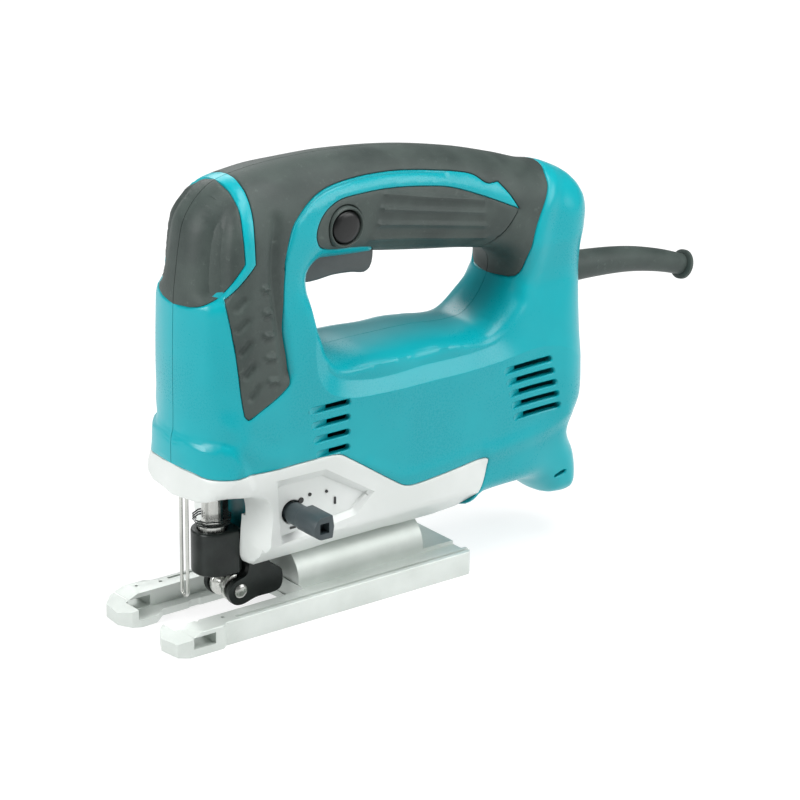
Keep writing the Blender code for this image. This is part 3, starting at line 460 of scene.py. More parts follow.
# relief and slots of the sides; heights are outwards
features = {
    # line, height, reach to each side, roundness at the top
    "creases": [
        ([(-112, 125), (-115, 131), (-119.9, 148.5), (-126.7, 163), (-131, 169.5), (-135, 173.7)],
         1.0, 5.5, 0.5),
        ([(25.8, 184.5), (28.9, 167.2), (27.9, 144.7), (24.5, 116.7)], -1.8, 3.6, 0.3),
        ([(57.4, 147), (57.2, 130), (56.6, 112), (54, 98)], 1.2, 6.5, 0.7),
        ([(52.5, 100), (48.5, 92), (40, 84), (28, 79)], 0.5, 5.0, 0.8),
        ([(-88, 54.5), (-105, 56), (-122, 58), (-133, 63)], 1.2, 5.5, 0.6),
        ([(-20, 66), (-38, 56), (-50, 55.5), (-86, 58)], 0.5, 3.5, 0.5),
        ([(44.5, 198), (48, 193.5), (52.2, 186), (54.8, 176), (55.6, 165), (55.6, 157)], -4.4, 5.0, 0.9),
    ],
    "groove": [(23.2, 163), (19.8, 171.2), (14.6, 180.9), (1.6, 188.5), (-14.7, 191.4), (-38, 190.6),
               (-56.4, 188.1), (-70, 185.4)],
    "grooveShape": (-0.4, 0.7, 0.05),
    "ribs": [((-35.3, 183.2), (-88.8, 170.6)), ((-33, 177.1), (-88.7, 165)), ((-30.6, 171), (-89.2, 159)),
             ((-27.8, 164.9), (-91.1, 152.8))],
    "ribShape": (1.2, 1.6, 0.25),
    "chevronLeft": [(46.6, 152.1), (46.1, 142.9), (45.1, 132.6), (43.6, 122.2), (41.5, 112.5)],
    "chevronRight": [(33.1, 157.2), (33.1, 146.8), (33.1, 136.7), (32.5, 126.9), (31.6, 116.5)],
    # both ends beside each place of a row, then height, reach and roundness
    "leftHollow": ((1.6, -2.0), (-1.8, 1.8), -1.5, 2.4, 0.3),
    "rightBulge": ((2.0, -0.3), (-1.6, -1.0), 1.5, 1.7, 0.2),
    "rightHollow": ((1.6, -2.6), (-2.2, -3.2), -0.7, 1.8, 0.3),
    # the bulge at the foot of the front
    "pad": [(67, 90), (60.3, 89), (55, 91.2), (51, 89), (46, 80), (42, 70), (42, 60), (67, 60)],
    "padHeight": 1.0, "padWidth": 1.9,
    # relief fades out within this distance of the body's edges
    "fade": 5.0,
}
grooveLine = smoothLine(features["groove"], 1.5)
creaseLines = [(smoothLine(line, 3), *shape) for line, *shape in features["creases"]]


# a tent along a line, rounded at the top and partly smoothed at its foot
def ridge(points, line, height, reach, roundness, smoothness=0.35):
    far = nearest(np.array(line, float), points)[0]
    far = np.sqrt(far * far + roundness * roundness) - roundness
    share = np.clip(1 - far / reach, 0, 1)
    return height * share * share * (3 - 2 * share) * smoothness + height * share * (1 - smoothness)


def chevrons(points, row, shape):
    one, two, height, reach, roundness = shape
    return sum(ridge(points, [(x + one[0], z + one[1]), (x + two[0], z + two[1])], height, reach, roundness)
               for x, z in row)


# how far the side stands out at each point
def relief(points):
    out = np.zeros(len(points))
    for line, height, reach, roundness in creaseLines:
        out += ridge(points, line, height, reach, roundness)
    out += ridge(points, grooveLine, *features["grooveShape"])
    inPalm = within(zoneRings["palm_insert"], points)
    for a, b in features["ribs"]:
        out += np.where(inPalm, ridge(points, [a, b], *features["ribShape"]), 0)
    out += chevrons(points, features["chevronLeft"], features["leftHollow"])
    out += chevrons(points, features["chevronRight"], features["rightBulge"])
    out += chevrons(points, features["chevronRight"], features["rightHollow"])
    pad = np.array(features["pad"], float)
    toEdge = nearest(closed(pad), points)[0]
    raised = np.where(within(pad, points), np.clip(toEdge / features["padWidth"], 0, 1), 0)
    return out + raised * features["padHeight"]


# first and last end of each slot
rearVents = [((-97.5 - 1.6 * k, 91.0 - 5.8 * k), (-121.6 - 1.4 * k, 91.6 - 5.8 * k)) for k in range(5)]
frontVents = [((11.5 - 1.3 * k, 97.3 - 6.9 * k), (-7.4, 97.3 - 6.9 * k)) for k in range(4)]
# the right side's front vents start behind a screw
frontVentsRight = [((min(a[0], 4.5), a[1]), b) for a, b in frontVents]
# how far a slot's sloping bed reaches along it, and the depths of its top and bottom at both ends
vents = {
    "radius": 1.45, "lobeSlot": ((-131.8, 31.2), (-136.4, 32.6), 0.9), "rearShare": 0.26,
    "frontShare": 0.48, "overlap": 1.7, "side": 0.2, "rise": 0.3, "high": (0.25, 2.2), "low": (3.3, 3.9)}


def slotsOf(side):
    slots = rearVents + (frontVents if side > 0 else frontVentsRight)
    return [slotRing(a, b, vents["radius"]) for a, b in slots] + [slotRing(*vents["lobeSlot"])]


button = {"x": -12.0, "z": 173.5, "recess": 9.5}
lever = {"x": 20.5, "z": 52.5, "bore": 5.2}
screws = {"radius": 3.9, "places": [(14, 138), (12, 88), (-76, 105.5), (-137, 100), (-128, 46), (-141, 146)]}
# the sunk field behind the lever, its floor and the slope of its wall
pocket = {
    "ring": [(31, 70), (31, 70), (4.3, 69.2), (4.3, 69.2), (-22.4, 52.4), (-22.4, 52.4), (-12, 44), (-12, 44),
             (27.9, 39.8), (27.9, 39.8), (31, 70)],
    "floor": [(29.6, 65.8), (29.6, 65.8), (4.6, 65.6), (4.6, 65.6), (-18.4, 52.3), (-18.4, 52.3),
              (-10.4, 46.2), (-10.4, 46.2), (26.8, 42.4), (26.8, 42.4), (29.6, 65.8)],
    "depth": 2.6, "lip": 0.2, "wallDepth": 2.2, "wallWidth": 3.6}
pocketRing = joined(smoothLine(pocket["ring"], body["lineStep"]))
floorRing = joined(smoothLine(pocket["floor"], body["lineStep"]))


# the points of a ring moved to both sides by a distance
def rowBeside(ring, distance):
    ahead = np.roll(ring, -1, axis=0) - np.roll(ring, 1, axis=0)
    ahead /= np.maximum(np.linalg.norm(ahead, axis=1, keepdims=True), 1e-9)
    across = np.stack([-ahead[:, 1], ahead[:, 0]], 1)
    return np.vstack([ring + across * distance, ring - across * distance])


# rows of points beside each kind of line: their distances, steps and the least space between points
meshing = {
    "rimRows": (0.04, 0.18, 0.43, 0.82, 1.4, 2.1, 3.1, 4.3), "rimShare": 0.85, "rimMost": 0.8,
    "seamRows": (0.3, 0.75), "seamSpace": 0.22, "holeRow": 0.5, "holeSpace": 0.35,
    "padStep": 1.2, "padSpace": 0.5, "creaseStep": 1.6, "creaseSpace": 0.5,
    "ribStep": 1.2, "ribRows": (0.6, 1.3, 2.0), "ribSpace": 0.4,
    "chevronGrid": 0.65, "chevronSpace": 0.4, "grid": 1.9, "gridShare": 0.55,
}


# the rows of points that fill a side, the finest first
def sideRows(holes, lines):
    rows = []
    for near in meshing["rimRows"]:
        for ring, whole in ((outlineRing, closedOutline), (openingRing, closedOpening)):
            row = rowBeside(ring, near)
            keep = np.abs(nearest(whole, row)[0] - near) < near * 0.1
            rows.append((row[keep], min(near * meshing["rimShare"], meshing["rimMost"])))
    for line in lines:
        for near in meshing["seamRows"]:
            rows.append((rowBeside(line, near)[1:-1], meshing["seamSpace"]))
    for ring in holes + [pocketRing, floorRing]:
        rows.append((rowBeside(ring, meshing["holeRow"]), meshing["holeSpace"]))
    pad = closed(features["pad"])
    fine = np.vstack([smoothLine([a, a, b, b], meshing["padStep"]) for a, b in zip(pad, pad[1:])])
    rows.append((np.vstack([fine, rowBeside(fine, features["padWidth"])]), meshing["padSpace"]))
    for line, height, reach, roundness in creaseLines:
        fine = smoothLine([tuple(p) for p in line], meshing["creaseStep"])
        beside = rowBeside(fine, roundness + 0.4)[1:-1]
        rows.append((np.vstack([fine, beside]), meshing["creaseSpace"]))
    for a, b in features["ribs"]:
        fine = smoothLine([a, b], meshing["ribStep"])
        beside = [rowBeside(fine, distance) for distance in meshing["ribRows"]]
        rows.append((np.vstack([fine] + beside), meshing["ribSpace"]))
    pitch = meshing["chevronGrid"]
    for x, z in features["chevronLeft"] + features["chevronRight"]:
        grid = np.array([(x + pitch * i, z - 1 + pitch * j) for i in range(-6, 7) for j in range(-6, 7)])
        rows.append((grid, meshing["chevronSpace"]))
    # a grid of near equilateral triangles over the rest
    pitch = meshing["grid"]
    low, high = outlineRing.min(0), outlineRing.max(0)
    grid = np.array([(low[0] + (i + 0.5 * (j % 2)) * pitch, low[1] + j * pitch * 0.87)
                     for j in range(int((high[1] - low[1]) / pitch / 0.87) + 1)
                     for i in range(int((high[0] - low[0]) / pitch) + 1)])
    rows.append((grid, pitch * meshing["gridShare"]))
    return rows


# plane points and triangles of one whole side, with every line as an edge
def sideMesh(side):
    holes = slotsOf(side)
    if side > 0:
        holes.append(circleRing((button["x"], button["z"]), button["recess"], 48))
        holes.append(circleRing((lever["x"], lever["z"]), lever["bore"], 30))
    else:
        holes += [circleRing(place, screws["radius"], 20) for place in screws["places"]]
    rings = [outlineRing, openingRing] + holes + [pocketRing, floorRing]
    lines = list(seamLines.values()) + [palmSplit, stepOuter, stepInner, grooveLine]
    kept = [tuple(p) for line in rings + lines for p in line]
    edges = []
    start = 0
    for ring in rings:
        edges += [(start + i, start + (i + 1) % len(ring)) for i in range(len(ring))]
        start += len(ring)
    for line in lines:
        edges += [(start + i, start + i + 1) for i in range(len(line) - 1)]
        start += len(line)
    for row, least in sideRows(holes, lines):
        row = row[within(outlineRing, row) & ~within(openingRing, row)]
        tree = KDTree(len(kept))
        for i, p in enumerate(kept):
            tree.insert((*p, 0), i)
        tree.balance()
        added = []
        for p in row:
            if tree.find((*p, 0))[2] > least and all(
                    (p[0] - q[0]) ** 2 + (p[1] - q[1]) ** 2 > least * least for q in added[-3:]):
                added.append(tuple(p))
        kept += added
    found = delaunay_2d_cdt([Vector(p) for p in kept], edges, [], 1, 1e-5)
    points = np.array([tuple(p) for p in found[0]])
    triangles = np.array([t for t in found[2] if len(t) == 3])
    middle = points[triangles].mean(1)
    keep = within(outlineRing, middle) & ~within(openingRing, middle)
    for hole in holes:
        keep &= ~within(hole, middle)
    return points, triangles[keep], holes


# depth of a rounded edge at a distance from it
def roundOff(far, radius):
    inner = np.clip(radius - far, 0, radius)
    return radius - np.sqrt(np.maximum(radius * radius - inner * inner, 0))


def zoneOf(points, triangles):
    middle = points[triangles].mean(1)
    zone = np.full(len(triangles), "housing", dtype=object)
    for name, ring in zoneRings.items():
        zone[within(ring, middle)] = name
    return zone


# rounding of the seams and holes, and the walls of the mouldings
walls = {"seamRadius": 0.8, "holeRadius": 0.5, "settle": 1.5, "extra": 1.0, "least": 1.4}


# outer and inner positions of every point of a side
def sidePositions(points, holes, chamfered):
    edge, foot = edgeOf(points)
    y, normal = bodySurface(points, edge, foot, chamfered)
    sunk = -relief(points) * np.clip(edge / features["fade"], 0, 1)
    seams = list(seamLines.values()) + [palmSplit]
    toSeam = np.min([nearest(line, points)[0] for line in seams], axis=0)
    toHole = np.min([nearest(closed(hole), points)[0] for hole in holes], axis=0)
    sunk += roundOff(toSeam, walls["seamRadius"])
    sunk += roundOff(toHole, walls["holeRadius"])
    if chamfered:
        toWall = nearest(closed(pocketRing), points)[0]
        slope = np.clip(toWall / pocket["wallWidth"], 0, 1) * pocket["wallDepth"] + pocket["lip"]
        inPocket = within(pocketRing, points) & (toWall > 0.05)
        onFloor = within(floorRing, points) | (nearest(closed(floorRing), points)[0] < 0.05)
        sunk += np.where(onFloor, pocket["depth"], np.where(inPocket, slope, 0))
    sunk *= np.clip(edge / walls["settle"], 0, 1)
    outer = np.stack([points[:, 0], y, points[:, 1]], 1) - normal * sunk[:, None]
    wall = body["wall"] + (walls["extra"] if chamfered else 0.0)
    innerY = bodyHeight(points, edge, wall, chamfered)
    innerY = np.minimum(innerY, np.maximum(outer[:, 1] - walls["least"], 0))
    inner = np.stack([points[:, 0], innerY, points[:, 1]], 1)
    return outer, inner


# an object in metres, with its place in its mesh; cutters are made with it too
def objectFrom(name, bm):
    bmesh.ops.recalc_face_normals(bm, faces=bm.faces)
    bmesh.ops.scale(bm, vec=(mm, mm, mm), verts=bm.verts)
    mesh = bpy.data.meshes.new(name)
    bm.to_mesh(mesh)
    bm.free()
    made = bpy.data.objects.new(name, mesh)
    bpy.context.scene.collection.objects.link(made)
    return made


def smoothShaded(made):
    made.data.shade_smooth()
    made.data.set_sharp_from_angle(angle=radians(38))


# a finished piece, with its finish, its body and the nodes it stands for
def finishMesh(name, bm, slotName, bodyName, cadNodes, finish=None):
    bmesh.ops.remove_doubles(bm, verts=bm.verts, dist=0.002)
    made = objectFrom(name, bm)
    made.data.materials.append(finishes[finish or slotName])
    smoothShaded(made)
    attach(made, bodyName)
    if cadNodes:
        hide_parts(*cadNodes)
    return made


# one side's outer and inner skins and the wall round them; with no gap it stays open at the middle
def addShell(bm, side, triangles, outer, inner, gap):
    flat = 1e-6
    used = np.unique(triangles)
    top = {i: bm.verts.new((outer[i][0], side * max(gap, outer[i][1]), outer[i][2])) for i in used}
    low = {i: bm.verts.new((inner[i][0], side * max(gap, inner[i][1]), inner[i][2])) for i in used}
    rims = {}
    for a, b, c in triangles:
        bm.faces.new((top[a], top[b], top[c]))
        if gap or max(inner[a][1], inner[b][1], inner[c][1]) > 1e-9:
            bm.faces.new((low[c], low[b], low[a]))
        for pair in ((a, b), (b, c), (c, a)):
            rims.setdefault(frozenset(pair), []).append(pair)
    for found in rims.values():
        a, b = found[0]
        atMiddle = not gap and outer[a][1] < flat and outer[b][1] < flat
        if len(found) == 1 and not atMiddle:
            bm.faces.new((top[a], low[a], low[b], top[b]))


# the plastic pieces of both sides; it gives what the gear housing needs of each
def mouldings():
    halves = []
    for side, word in ((1, "left"), (-1, "right")):
        points, triangles, holes = sideMesh(side)
        outer, inner = sidePositions(points, holes, False)
        castOuter, castInner = sidePositions(points, holes, True)
        zones = zoneOf(points, triangles)
        print("side", word, len(points), "points", len(triangles), "triangles")
        for zone, slotName in (("housing", "teal_plastic"), ("grip", "grip_elastomer"),
                               ("nose_cap", "grip_elastomer"), ("palm_insert", "grip_elastomer")):
            bm = bmesh.new()
            addShell(bm, side, triangles[zones == zone], outer, inner, body["halfGap"])
            finishMesh(f"{zone}_{word}_look", bm, slotName, "housing", [f"{zone}_{word}"])
        halves.append((side, triangles[zones == "gear_housing"], castOuter, castInner))
    return halves


# cuts with the cutters, after any modifier that is on the object, and applies it all
def cutWith(made, cutters):
    for k, cutter in enumerate(cutters):
        modifier = made.modifiers.new(f"cut{k}", "BOOLEAN")
        modifier.operation = "DIFFERENCE"
        modifier.object = cutter
    graph = bpy.context.evaluated_depsgraph_get()
    mesh = bpy.data.meshes.new_from_object(made.evaluated_get(graph))
    old = made.data
    made.modifiers.clear()
    made.data = mesh
    bpy.data.meshes.remove(old)
    for cutter in cutters:
        bpy.data.objects.remove(cutter)
    smoothShaded(made)


# joins an extra shape on, then cuts
def joinAndCut(made, extra, cutters):
    modifier = made.modifiers.new("join", "BOOLEAN")
    modifier.operation = "UNION"
    modifier.object = extra
    cutWith(made, cutters)
    bpy.data.objects.remove(extra)


def roundEdges(made, width, angle):
    bevel = made.modifiers.new("edges", "BEVEL")
    bevel.width = width * mm
    bevel.segments = 2
    bevel.limit_method = "ANGLE"
    bevel.angle_limit = radians(angle)


def box(low, high):
    bm = bmesh.new()
    bmesh.ops.create_cube(bm, size=1)
    for vert in bm.verts:
        vert.co = Vector([low[i] + (vert.co[i] + 0.5) * (high[i] - low[i]) for i in range(3)])
    return bm


def placed(bm, axis, centre):
    turn = {"X": Matrix.Rotation(radians(90), 4, "Y"), "Y": Matrix.Rotation(radians(-90), 4, "X"),
            "Z": Matrix.Identity(4)}[axis]
    bm.transform(Matrix.Translation(centre) @ turn)
    return bm


# a solid of revolution from (distance along the axis, radius)
def turned(profile, axis, centre, sides):
    bm = bmesh.new()
    points = [bm.verts.new((radius, 0, along)) for along, radius in profile]
    for a, b in zip(points, points[1:]):
        bm.edges.new((a, b))
    if profile[0][1] > 0 and profile[-1][1] > 0:
        bm.edges.new((points[-1], points[0]))
    bmesh.ops.spin(bm, geom=bm.verts[:] + bm.edges[:], cent=(0, 0, 0), axis=(0, 0, 1), angle=2 * pi,
                   steps=sides, use_merge=True)
    bmesh.ops.remove_doubles(bm, verts=bm.verts, dist=0.0005)
    return placed(bm, axis, centre)


def rod(radius, start, end, axis, centre, sides):
    return turned([(start, 0), (start, radius), (end, radius), (end, 0)], axis, centre, sides)


# a face from its corners, extruded along a vector
def pushFace(bm, corners, way):
    face = bm.faces.new([bm.verts.new(corner) for corner in corners])
    pushed = bmesh.ops.extrude_face_region(bm, geom=[face])
    moved = [item for item in pushed["geom"] if isinstance(item, bmesh.types.BMVert)]
    bmesh.ops.translate(bm, verts=moved, vec=way)


# an outline pushed along an axis: (x, z) for Y, (y, z) for X, (x, y) for Z; bevel is width, segments, angle
def prism(outline, axis, start, end, bevel=None):
    at = "XYZ".index(axis)
    bm = bmesh.new()
    corners = [[*corner[:at], start, *corner[at:]] for corner in map(tuple, outline)]
    pushFace(bm, corners, [end - start if i == at else 0 for i in range(3)])
    if bevel:
        width, segments, angle = bevel
        bmesh.ops.recalc_face_normals(bm, faces=bm.faces)
        sharp = [e for e in bm.edges if len(e.link_faces) == 2 and e.calc_face_angle(0) > radians(angle)]
        bmesh.ops.bevel(bm, geom=sharp, offset=width, segments=segments, profile=0.5, affect="EDGES",
                        material=-1, clamp_overlap=True)
    return bm


# a tube along a path; outer is its radius at each point and inner its bore
def tube(path, outer, inner=0.0, sides=40):
    bm = bmesh.new()
    loops = []
    for i, point in enumerate(path):
        ahead = (path[min(i + 1, len(path) - 1)] - path[max(i - 1, 0)]).normalized()
        across = Vector((0, 1, 0)) if abs(ahead.y) < 0.9 else Vector((1, 0, 0))
        other = ahead.cross(across).normalized()
        across = other.cross(ahead)
        turns = [2 * pi * k / sides for k in range(sides)]
        ways = [across * cos(t) + other * sin(t) for t in turns]
        radii = [outer[i], inner] if inner else [outer[i]]
        loops.append([[bm.verts.new(point + way * radius) for way in ways] for radius in radii])
    for one, two in zip(loops, loops[1:]):
        for k in range(sides):
            j = (k + 1) % sides
            for a, b in zip(one, two):
                bm.faces.new((a[k], a[j], b[j], b[k]))
    for loop in (loops[0], loops[-1]):
        if inner:
            for k in range(sides):
                j = (k + 1) % sides
                bm.faces.new((loop[0][k], loop[0][j], loop[1][j], loop[1][k]))
        else:
            bm.faces.new(loop[0])
    return bm


def mirrored(half):
    return half + [(a, -b) for a, b in reversed(half) if b > 0]


def arc(centre, radius, start, end, steps):
    angles = [radians(start + (end - start) * k / steps) for k in range(steps + 1)]
    return [(centre[0] + radius * cos(t), centre[1] + radius * sin(t)) for t in angles]


# the sloping beds that lead into the vents
def ventRamps(side, word):
    bm = bmesh.new()
    slots = [(ends, vents["rearShare"]) for ends in rearVents]
    slots += [(ends, vents["frontShare"]) for ends in (frontVents if side > 0 else frontVentsRight)]
    for ends, share in slots:
        ends = np.array(ends)
        surface = sidePositions(ends, slotsOf(side), False)[0][:, 1].min() + vents["rise"]
        first, last = ends[0], ends[0] + (ends[1] - ends[0]) * share
        reach = vents["overlap"] if first[0] > last[0] else -vents["overlap"]
        half = vents["radius"] + vents["side"]
        corners = [(first[0] + reach, surface - vents["high"][0]), (last[0], surface - vents["low"][0]),
                   (last[0], surface - vents["low"][1]), (first[0] + reach, surface - vents["high"][1])]
        pushFace(bm, [(x, side * y, first[1] - half) for x, y in corners], (0, 0, 2 * half))
    finishMesh(f"vent_ramps_{word}", bm, "teal_plastic", "housing", [])


halves = mouldings()
for side, word in ((1, "left"), (-1, "right")):
    ventRamps(side, word)
print("mouldings made")

# the gear housing: lowest and highest corners of the room for the plunger and its clamp
housingRoom = {"channel": ((17, -10.4, 20), (45, 10.4, 70)), "noseRoom": ((29, -13, 50), (56.5, 13, 90))}
bm = bmesh.new()
for side, triangles, outer, inner in halves:
    addShell(bm, side, triangles, outer, inner, 0)
made = finishMesh("gear_housing_look", bm, "silver_paint", "housing", ["gear_housing"])
cutWith(made, [objectFrom(name, box(*corners)) for name, corners in housingRoom.items()])

# dots are x, z, radius and bars x, z, width, height; top is how far out their faces lie
marks = {"dots": [(15.9, 56.8, 1.35), (11.2, 58.4, 0.85), (2.2, 57.7, 0.7)],
         "bars": [(-2.4, 52.4, 0.7, 3.2), (20.2, 45.2, 3.0, 0.9)], "top": 27.0}
bm = bmesh.new()
for x, z, radius in marks["dots"]:
    place = Matrix.Translation((x, marks["top"] - 0.5, z)) @ Matrix.Rotation(radians(90), 4, "X")
    bmesh.ops.create_cone(bm, cap_ends=True, segments=24, radius1=radius, radius2=radius, depth=1,
                          matrix=place)
for x, z, width, height in marks["bars"]:
    place = Matrix.Translation((x, marks["top"] - 0.5, z)) @ Matrix.Diagonal((width, 1, height, 1))
    bmesh.ops.create_cube(bm, size=1, matrix=place)
finishMesh("setting_marks", bm, "black_plastic", "housing", [])
print("gear housing made")

triggerShape = {
    "outline": [(2.9, 159.6), (3.2, 151), (1, 147.8), (-6, 147.4), (-14, 148.0), (-24, 147.3), (-31, 146),
                (-34.2, 147.6), (-35.8, 152), (-35.8, 159.6)],
    "half": 9.6, "bevel": (1.6, 3, 50)}
outline = smoothLine(triggerShape["outline"], 2.0)
bm = prism(outline, "Y", -triggerShape["half"], triggerShape["half"], triggerShape["bevel"])
finishMesh("trigger_look", bm, "black_plastic", "trigger", ["trigger"], finish="trigger")

# y and radius of the lock button and of the ring round it
buttonProfiles = {
    "ring": [(16.5, 7.65), (16.5, 9.2), (21.4, 9.2), (22.2, 9.0), (22.6, 8.5), (22.6, 8.2), (22.2, 7.8),
             (21.4, 7.65)],
    "cap": [(13, 0), (13, 6), (14, 7.25), (21.2, 7.25), (22.2, 6.9), (22.8, 6.0), (23.1, 4.5), (23.3, 2.4),
            (23.4, 0)]}
buttonPlace = (button["x"], 0, button["z"])
finishMesh("lock_button_ring_look", turned(buttonProfiles["ring"], "Y", buttonPlace, 64), "black_plastic",
           "housing", ["lock_button_ring"], finish="grip_elastomer")
finishMesh("lock_button_look", turned(buttonProfiles["cap"], "Y", buttonPlace, 64), "black_plastic",
           "lock_button", ["lock_button"], finish="button")
print("controls made")

# the part inside the housing is thinner; the end ring is a distance from the tip and a radius
guard = {
    "line": [(-146, 121.5), (-160, 121.5), (-186, 119), (-206, 114.6), (-223, 109)], "bore": 3.6,
    "insideTo": -152.5, "insideRadius": 5.6, "radius": 7.3, "taper": 2.5,
    "endRing": [(2.4, 4.8), (2.3, 6.3), (1.9, 6.9), (0.4, 6.9), (0, 6.5)]}
path = [Vector((x, 0, z)) for x, z in smoothLine(guard["line"], 2.5)]
count = len(path) - 1
radii = [guard["insideRadius"] if p.x > guard["insideTo"] else guard["radius"] - guard["taper"] * k / count
         for k, p in enumerate(path)]
tip, ahead = path[-1], (path[-1] - path[-2]).normalized()
rings = list(zip(path[:-1], radii)) + [(tip - ahead * away, radius) for away, radius in guard["endRing"]]
rings.sort(key=lambda ring: -ring[0].x)
path, radii = zip(*rings)
bm = tube(path, radii, guard["bore"])
finishMesh("cord_guard_look", bm, "grip_elastomer", "housing", ["cord_guard"])
print("cord guard made")

# x and z of the pieces round the blade
plungerX, rollerX, rollerZ, forkX, forkZ = 44.0, 36.0, 13.6, 25.0, 42.0
sleeve = {
    "centre": (plungerX - 1, 0), "radius": 10.2, "low": 22.4, "high": 42.2, "bevel": (1.0, 3, 40),
    "bore": 6.8,
    "back": [(plungerX - 7, 10.2), (plungerX - 10.4, 7.5), (plungerX - 10.4, -7.5), (plungerX - 7, -10.2)]}
outline = arc(sleeve["centre"], sleeve["radius"], -80, 80, 24) + sleeve["back"]
bm = prism(outline, "Z", sleeve["low"], sleeve["high"], sleeve["bevel"])
made = finishMesh("blade_clamp_sleeve_look", bm, "black_plastic", "clamp_sleeve", ["blade_clamp_sleeve"],
                  finish="black_steel")
cutWith(made, [objectFrom("bore", rod(sleeve["bore"], 15, 50, "Z", (plungerX, 0, 0), 48))])

# the fork is one outline as wide as both arms, with the middle cut away
fork = {
    "outline": [(20.5, 46), (29.5, 46), (31, 30), (31.5, 22.5), (33, 19.9), (37.5, 18.6), (41.5, 16),
                (42, 12), (39.5, 8), (35, 7), (28, 8.6), (15, 9.8), (14, 18.6), (20.4, 23.6)],
    "half": 9.6, "gap": 7, "armsFrom": 26.5, "backTop": 22.6, "pinBore": 2.3, "pivotBore": 1.8,
    "edge": 0.5, "edgeAngle": 50}
outline = smoothLine(fork["outline"] + fork["outline"][:1], 1.5)[:-1]
bm = prism(outline, "Y", -fork["half"], fork["half"])
made = finishMesh("retainer_fork_look", bm, "black_steel", "fork", ["retainer_fork"])
gap = fork["gap"]
# the cutters reach well past the piece
cutWith(made, [objectFrom("forkMiddle", box((fork["armsFrom"], -gap, 0), (50, gap, 60))),
               objectFrom("forkGuide", box((10, -gap, fork["backTop"]), (50, gap, 60))),
               objectFrom("forkPin", rod(fork["pinBore"], -20, 20, "Y", (rollerX, 0, rollerZ), 32)),
               objectFrom("forkPivot", rod(fork["pivotBore"], -20, 20, "Y", (forkX, 0, forkZ), 24))])
roundEdges(made, fork["edge"], fork["edgeAngle"])

# y and radius
rollerProfiles = {
    "pin": [(-10.6, 0), (-10.6, 1.6), (-10.3, 1.9), (9.7, 1.9), (9.7, 3.2), (10.1, 3.15), (10.6, 2.6),
            (10.9, 1.5), (11, 0)],
    "roller": [(-5.4, 2.3), (-5.4, 5.7), (-5.1, 6.1), (-3.8, 6.2), (-3.4, 6.0), (-1.2, 4.0), (-0.8, 3.9),
               (0.8, 3.9), (1.2, 4.0), (3.4, 6.0), (3.8, 6.2), (5.1, 6.1), (5.4, 5.7), (5.4, 2.3)]}
rollerPlace = (rollerX, 0, rollerZ)
bm = turned(rollerProfiles["pin"], "Y", rollerPlace, 40)
finishMesh("roller_pin_look", bm, "steel", "fork", ["roller_pin"])
bm = turned(rollerProfiles["roller"], "Y", rollerPlace, 56)
finishMesh("guide_roller_look", bm, "steel", "roller", ["guide_roller"])

wire = {"x": 58.6, "half": 2.2, "bendZ": 16.4, "heights": (62, 50, 38, 27), "radius": 0.8}
bend = arc((0, wire["bendZ"]), wire["half"], 180, 360, 14)
legs = [[(side * wire["half"], z) for z in wire["heights"]] for side in (-1, 1)]
path = [Vector((wire["x"], y, z)) for y, z in legs[0] + bend + legs[1][::-1]]
bm = tube(path, [wire["radius"]] * len(path), 0, 20)
finishMesh("guard_wire_look", bm, "steel", "housing", ["guard_wire"])
print("blade end made")

# hub is y and radius; the bar has a round front and a back of three corners, seen from the side
leverShape = {
    "hub": [(22, 0), (22, 3.9), (28, 3.9), (28, 4.6), (28.3, 4.9), (36.6, 4.9), (37.2, 4.6), (37.2, 0)],
    "barRadius": 5.4, "back": [(-4.4, 5.3), (-5.2, 0), (-4.4, -5.3)], "barFrom": 35.5, "barTo": 50.4,
    "bevel": (0.5, 2, 25), "socket": 2.4, "socketFrom": 46}
leverX, leverZ = lever["x"], lever["z"]
bm = turned(leverShape["hub"], "Y", (leverX, 0, leverZ), 48)
outline = arc((leverX, leverZ), leverShape["barRadius"], -75, 75, 16)
outline += [(leverX + x, leverZ + z) for x, z in leverShape["back"]]
bar = prism(outline, "Y", leverShape["barFrom"], leverShape["barTo"], leverShape["bevel"])
bar = objectFrom("leverBar", bar)
made = finishMesh("orbital_lever_look", bm, "slate_plastic", "lever", ["orbital_lever"])
half = leverShape["socket"]
socket = box((leverX - half, leverShape["socketFrom"], leverZ - half), (leverX + half, 60, leverZ + half))
joinAndCut(made, bar, [objectFrom("leverSocket", socket)])
print("lever made")

# half of the plate is drawn as (x, y); boxes are lowest and highest corners
base = {
    "half": [(-77.5, 0), (-77.5, 26.5), (-75, 29), (57, 29), (59.5, 31), (77, 31), (81.5, 27.5), (82.6, 17),
             (79, 10.5), (75, 8.6), (67, 9), (61, 13.8), (47, 13.8), (46.2, 14.6), (41.8, 14.6), (41, 14),
             (14, 14), (10, 11), (9.2, 0)],
    "top": 11, "bevel": (0.9, 3, 20), "edge": 0.45, "edgeAngle": 40,
    "tray": ((9, -19.5, 3.5), (76.5, 19.5, 20)), "fence": ((63.8, -40, 3.8), (75.2, 40, 9.0)),
    "tipSlope": [(69.5, 11.3), (86, 4.4), (86, 20), (69.5, 20)],
    "pins": [(66, 19.7), (55, 23.3), (65.8, -27), (54.5, -25)], "pinRadius": 0.9, "pinFloor": 8,
    # nearer and further y, floor and front end of the two grooves of each side
    "grooves": [(25.2, 26.9, 9.5, 50), (14.2, 23.4, 9.2, 8)],
    "humpRadius": 14.7, "humpZ": 12.0, "humpFoot": 5, "humpFrom": -60, "humpTo": 8.4,
    "wellX": -22, "wellRadius": 3.4}
bm = prism(mirrored(base["half"]), "Z", 0, base["top"], base["bevel"])
made = finishMesh("base_plate_look", bm, "cast_aluminium", "base", ["base_plate"])
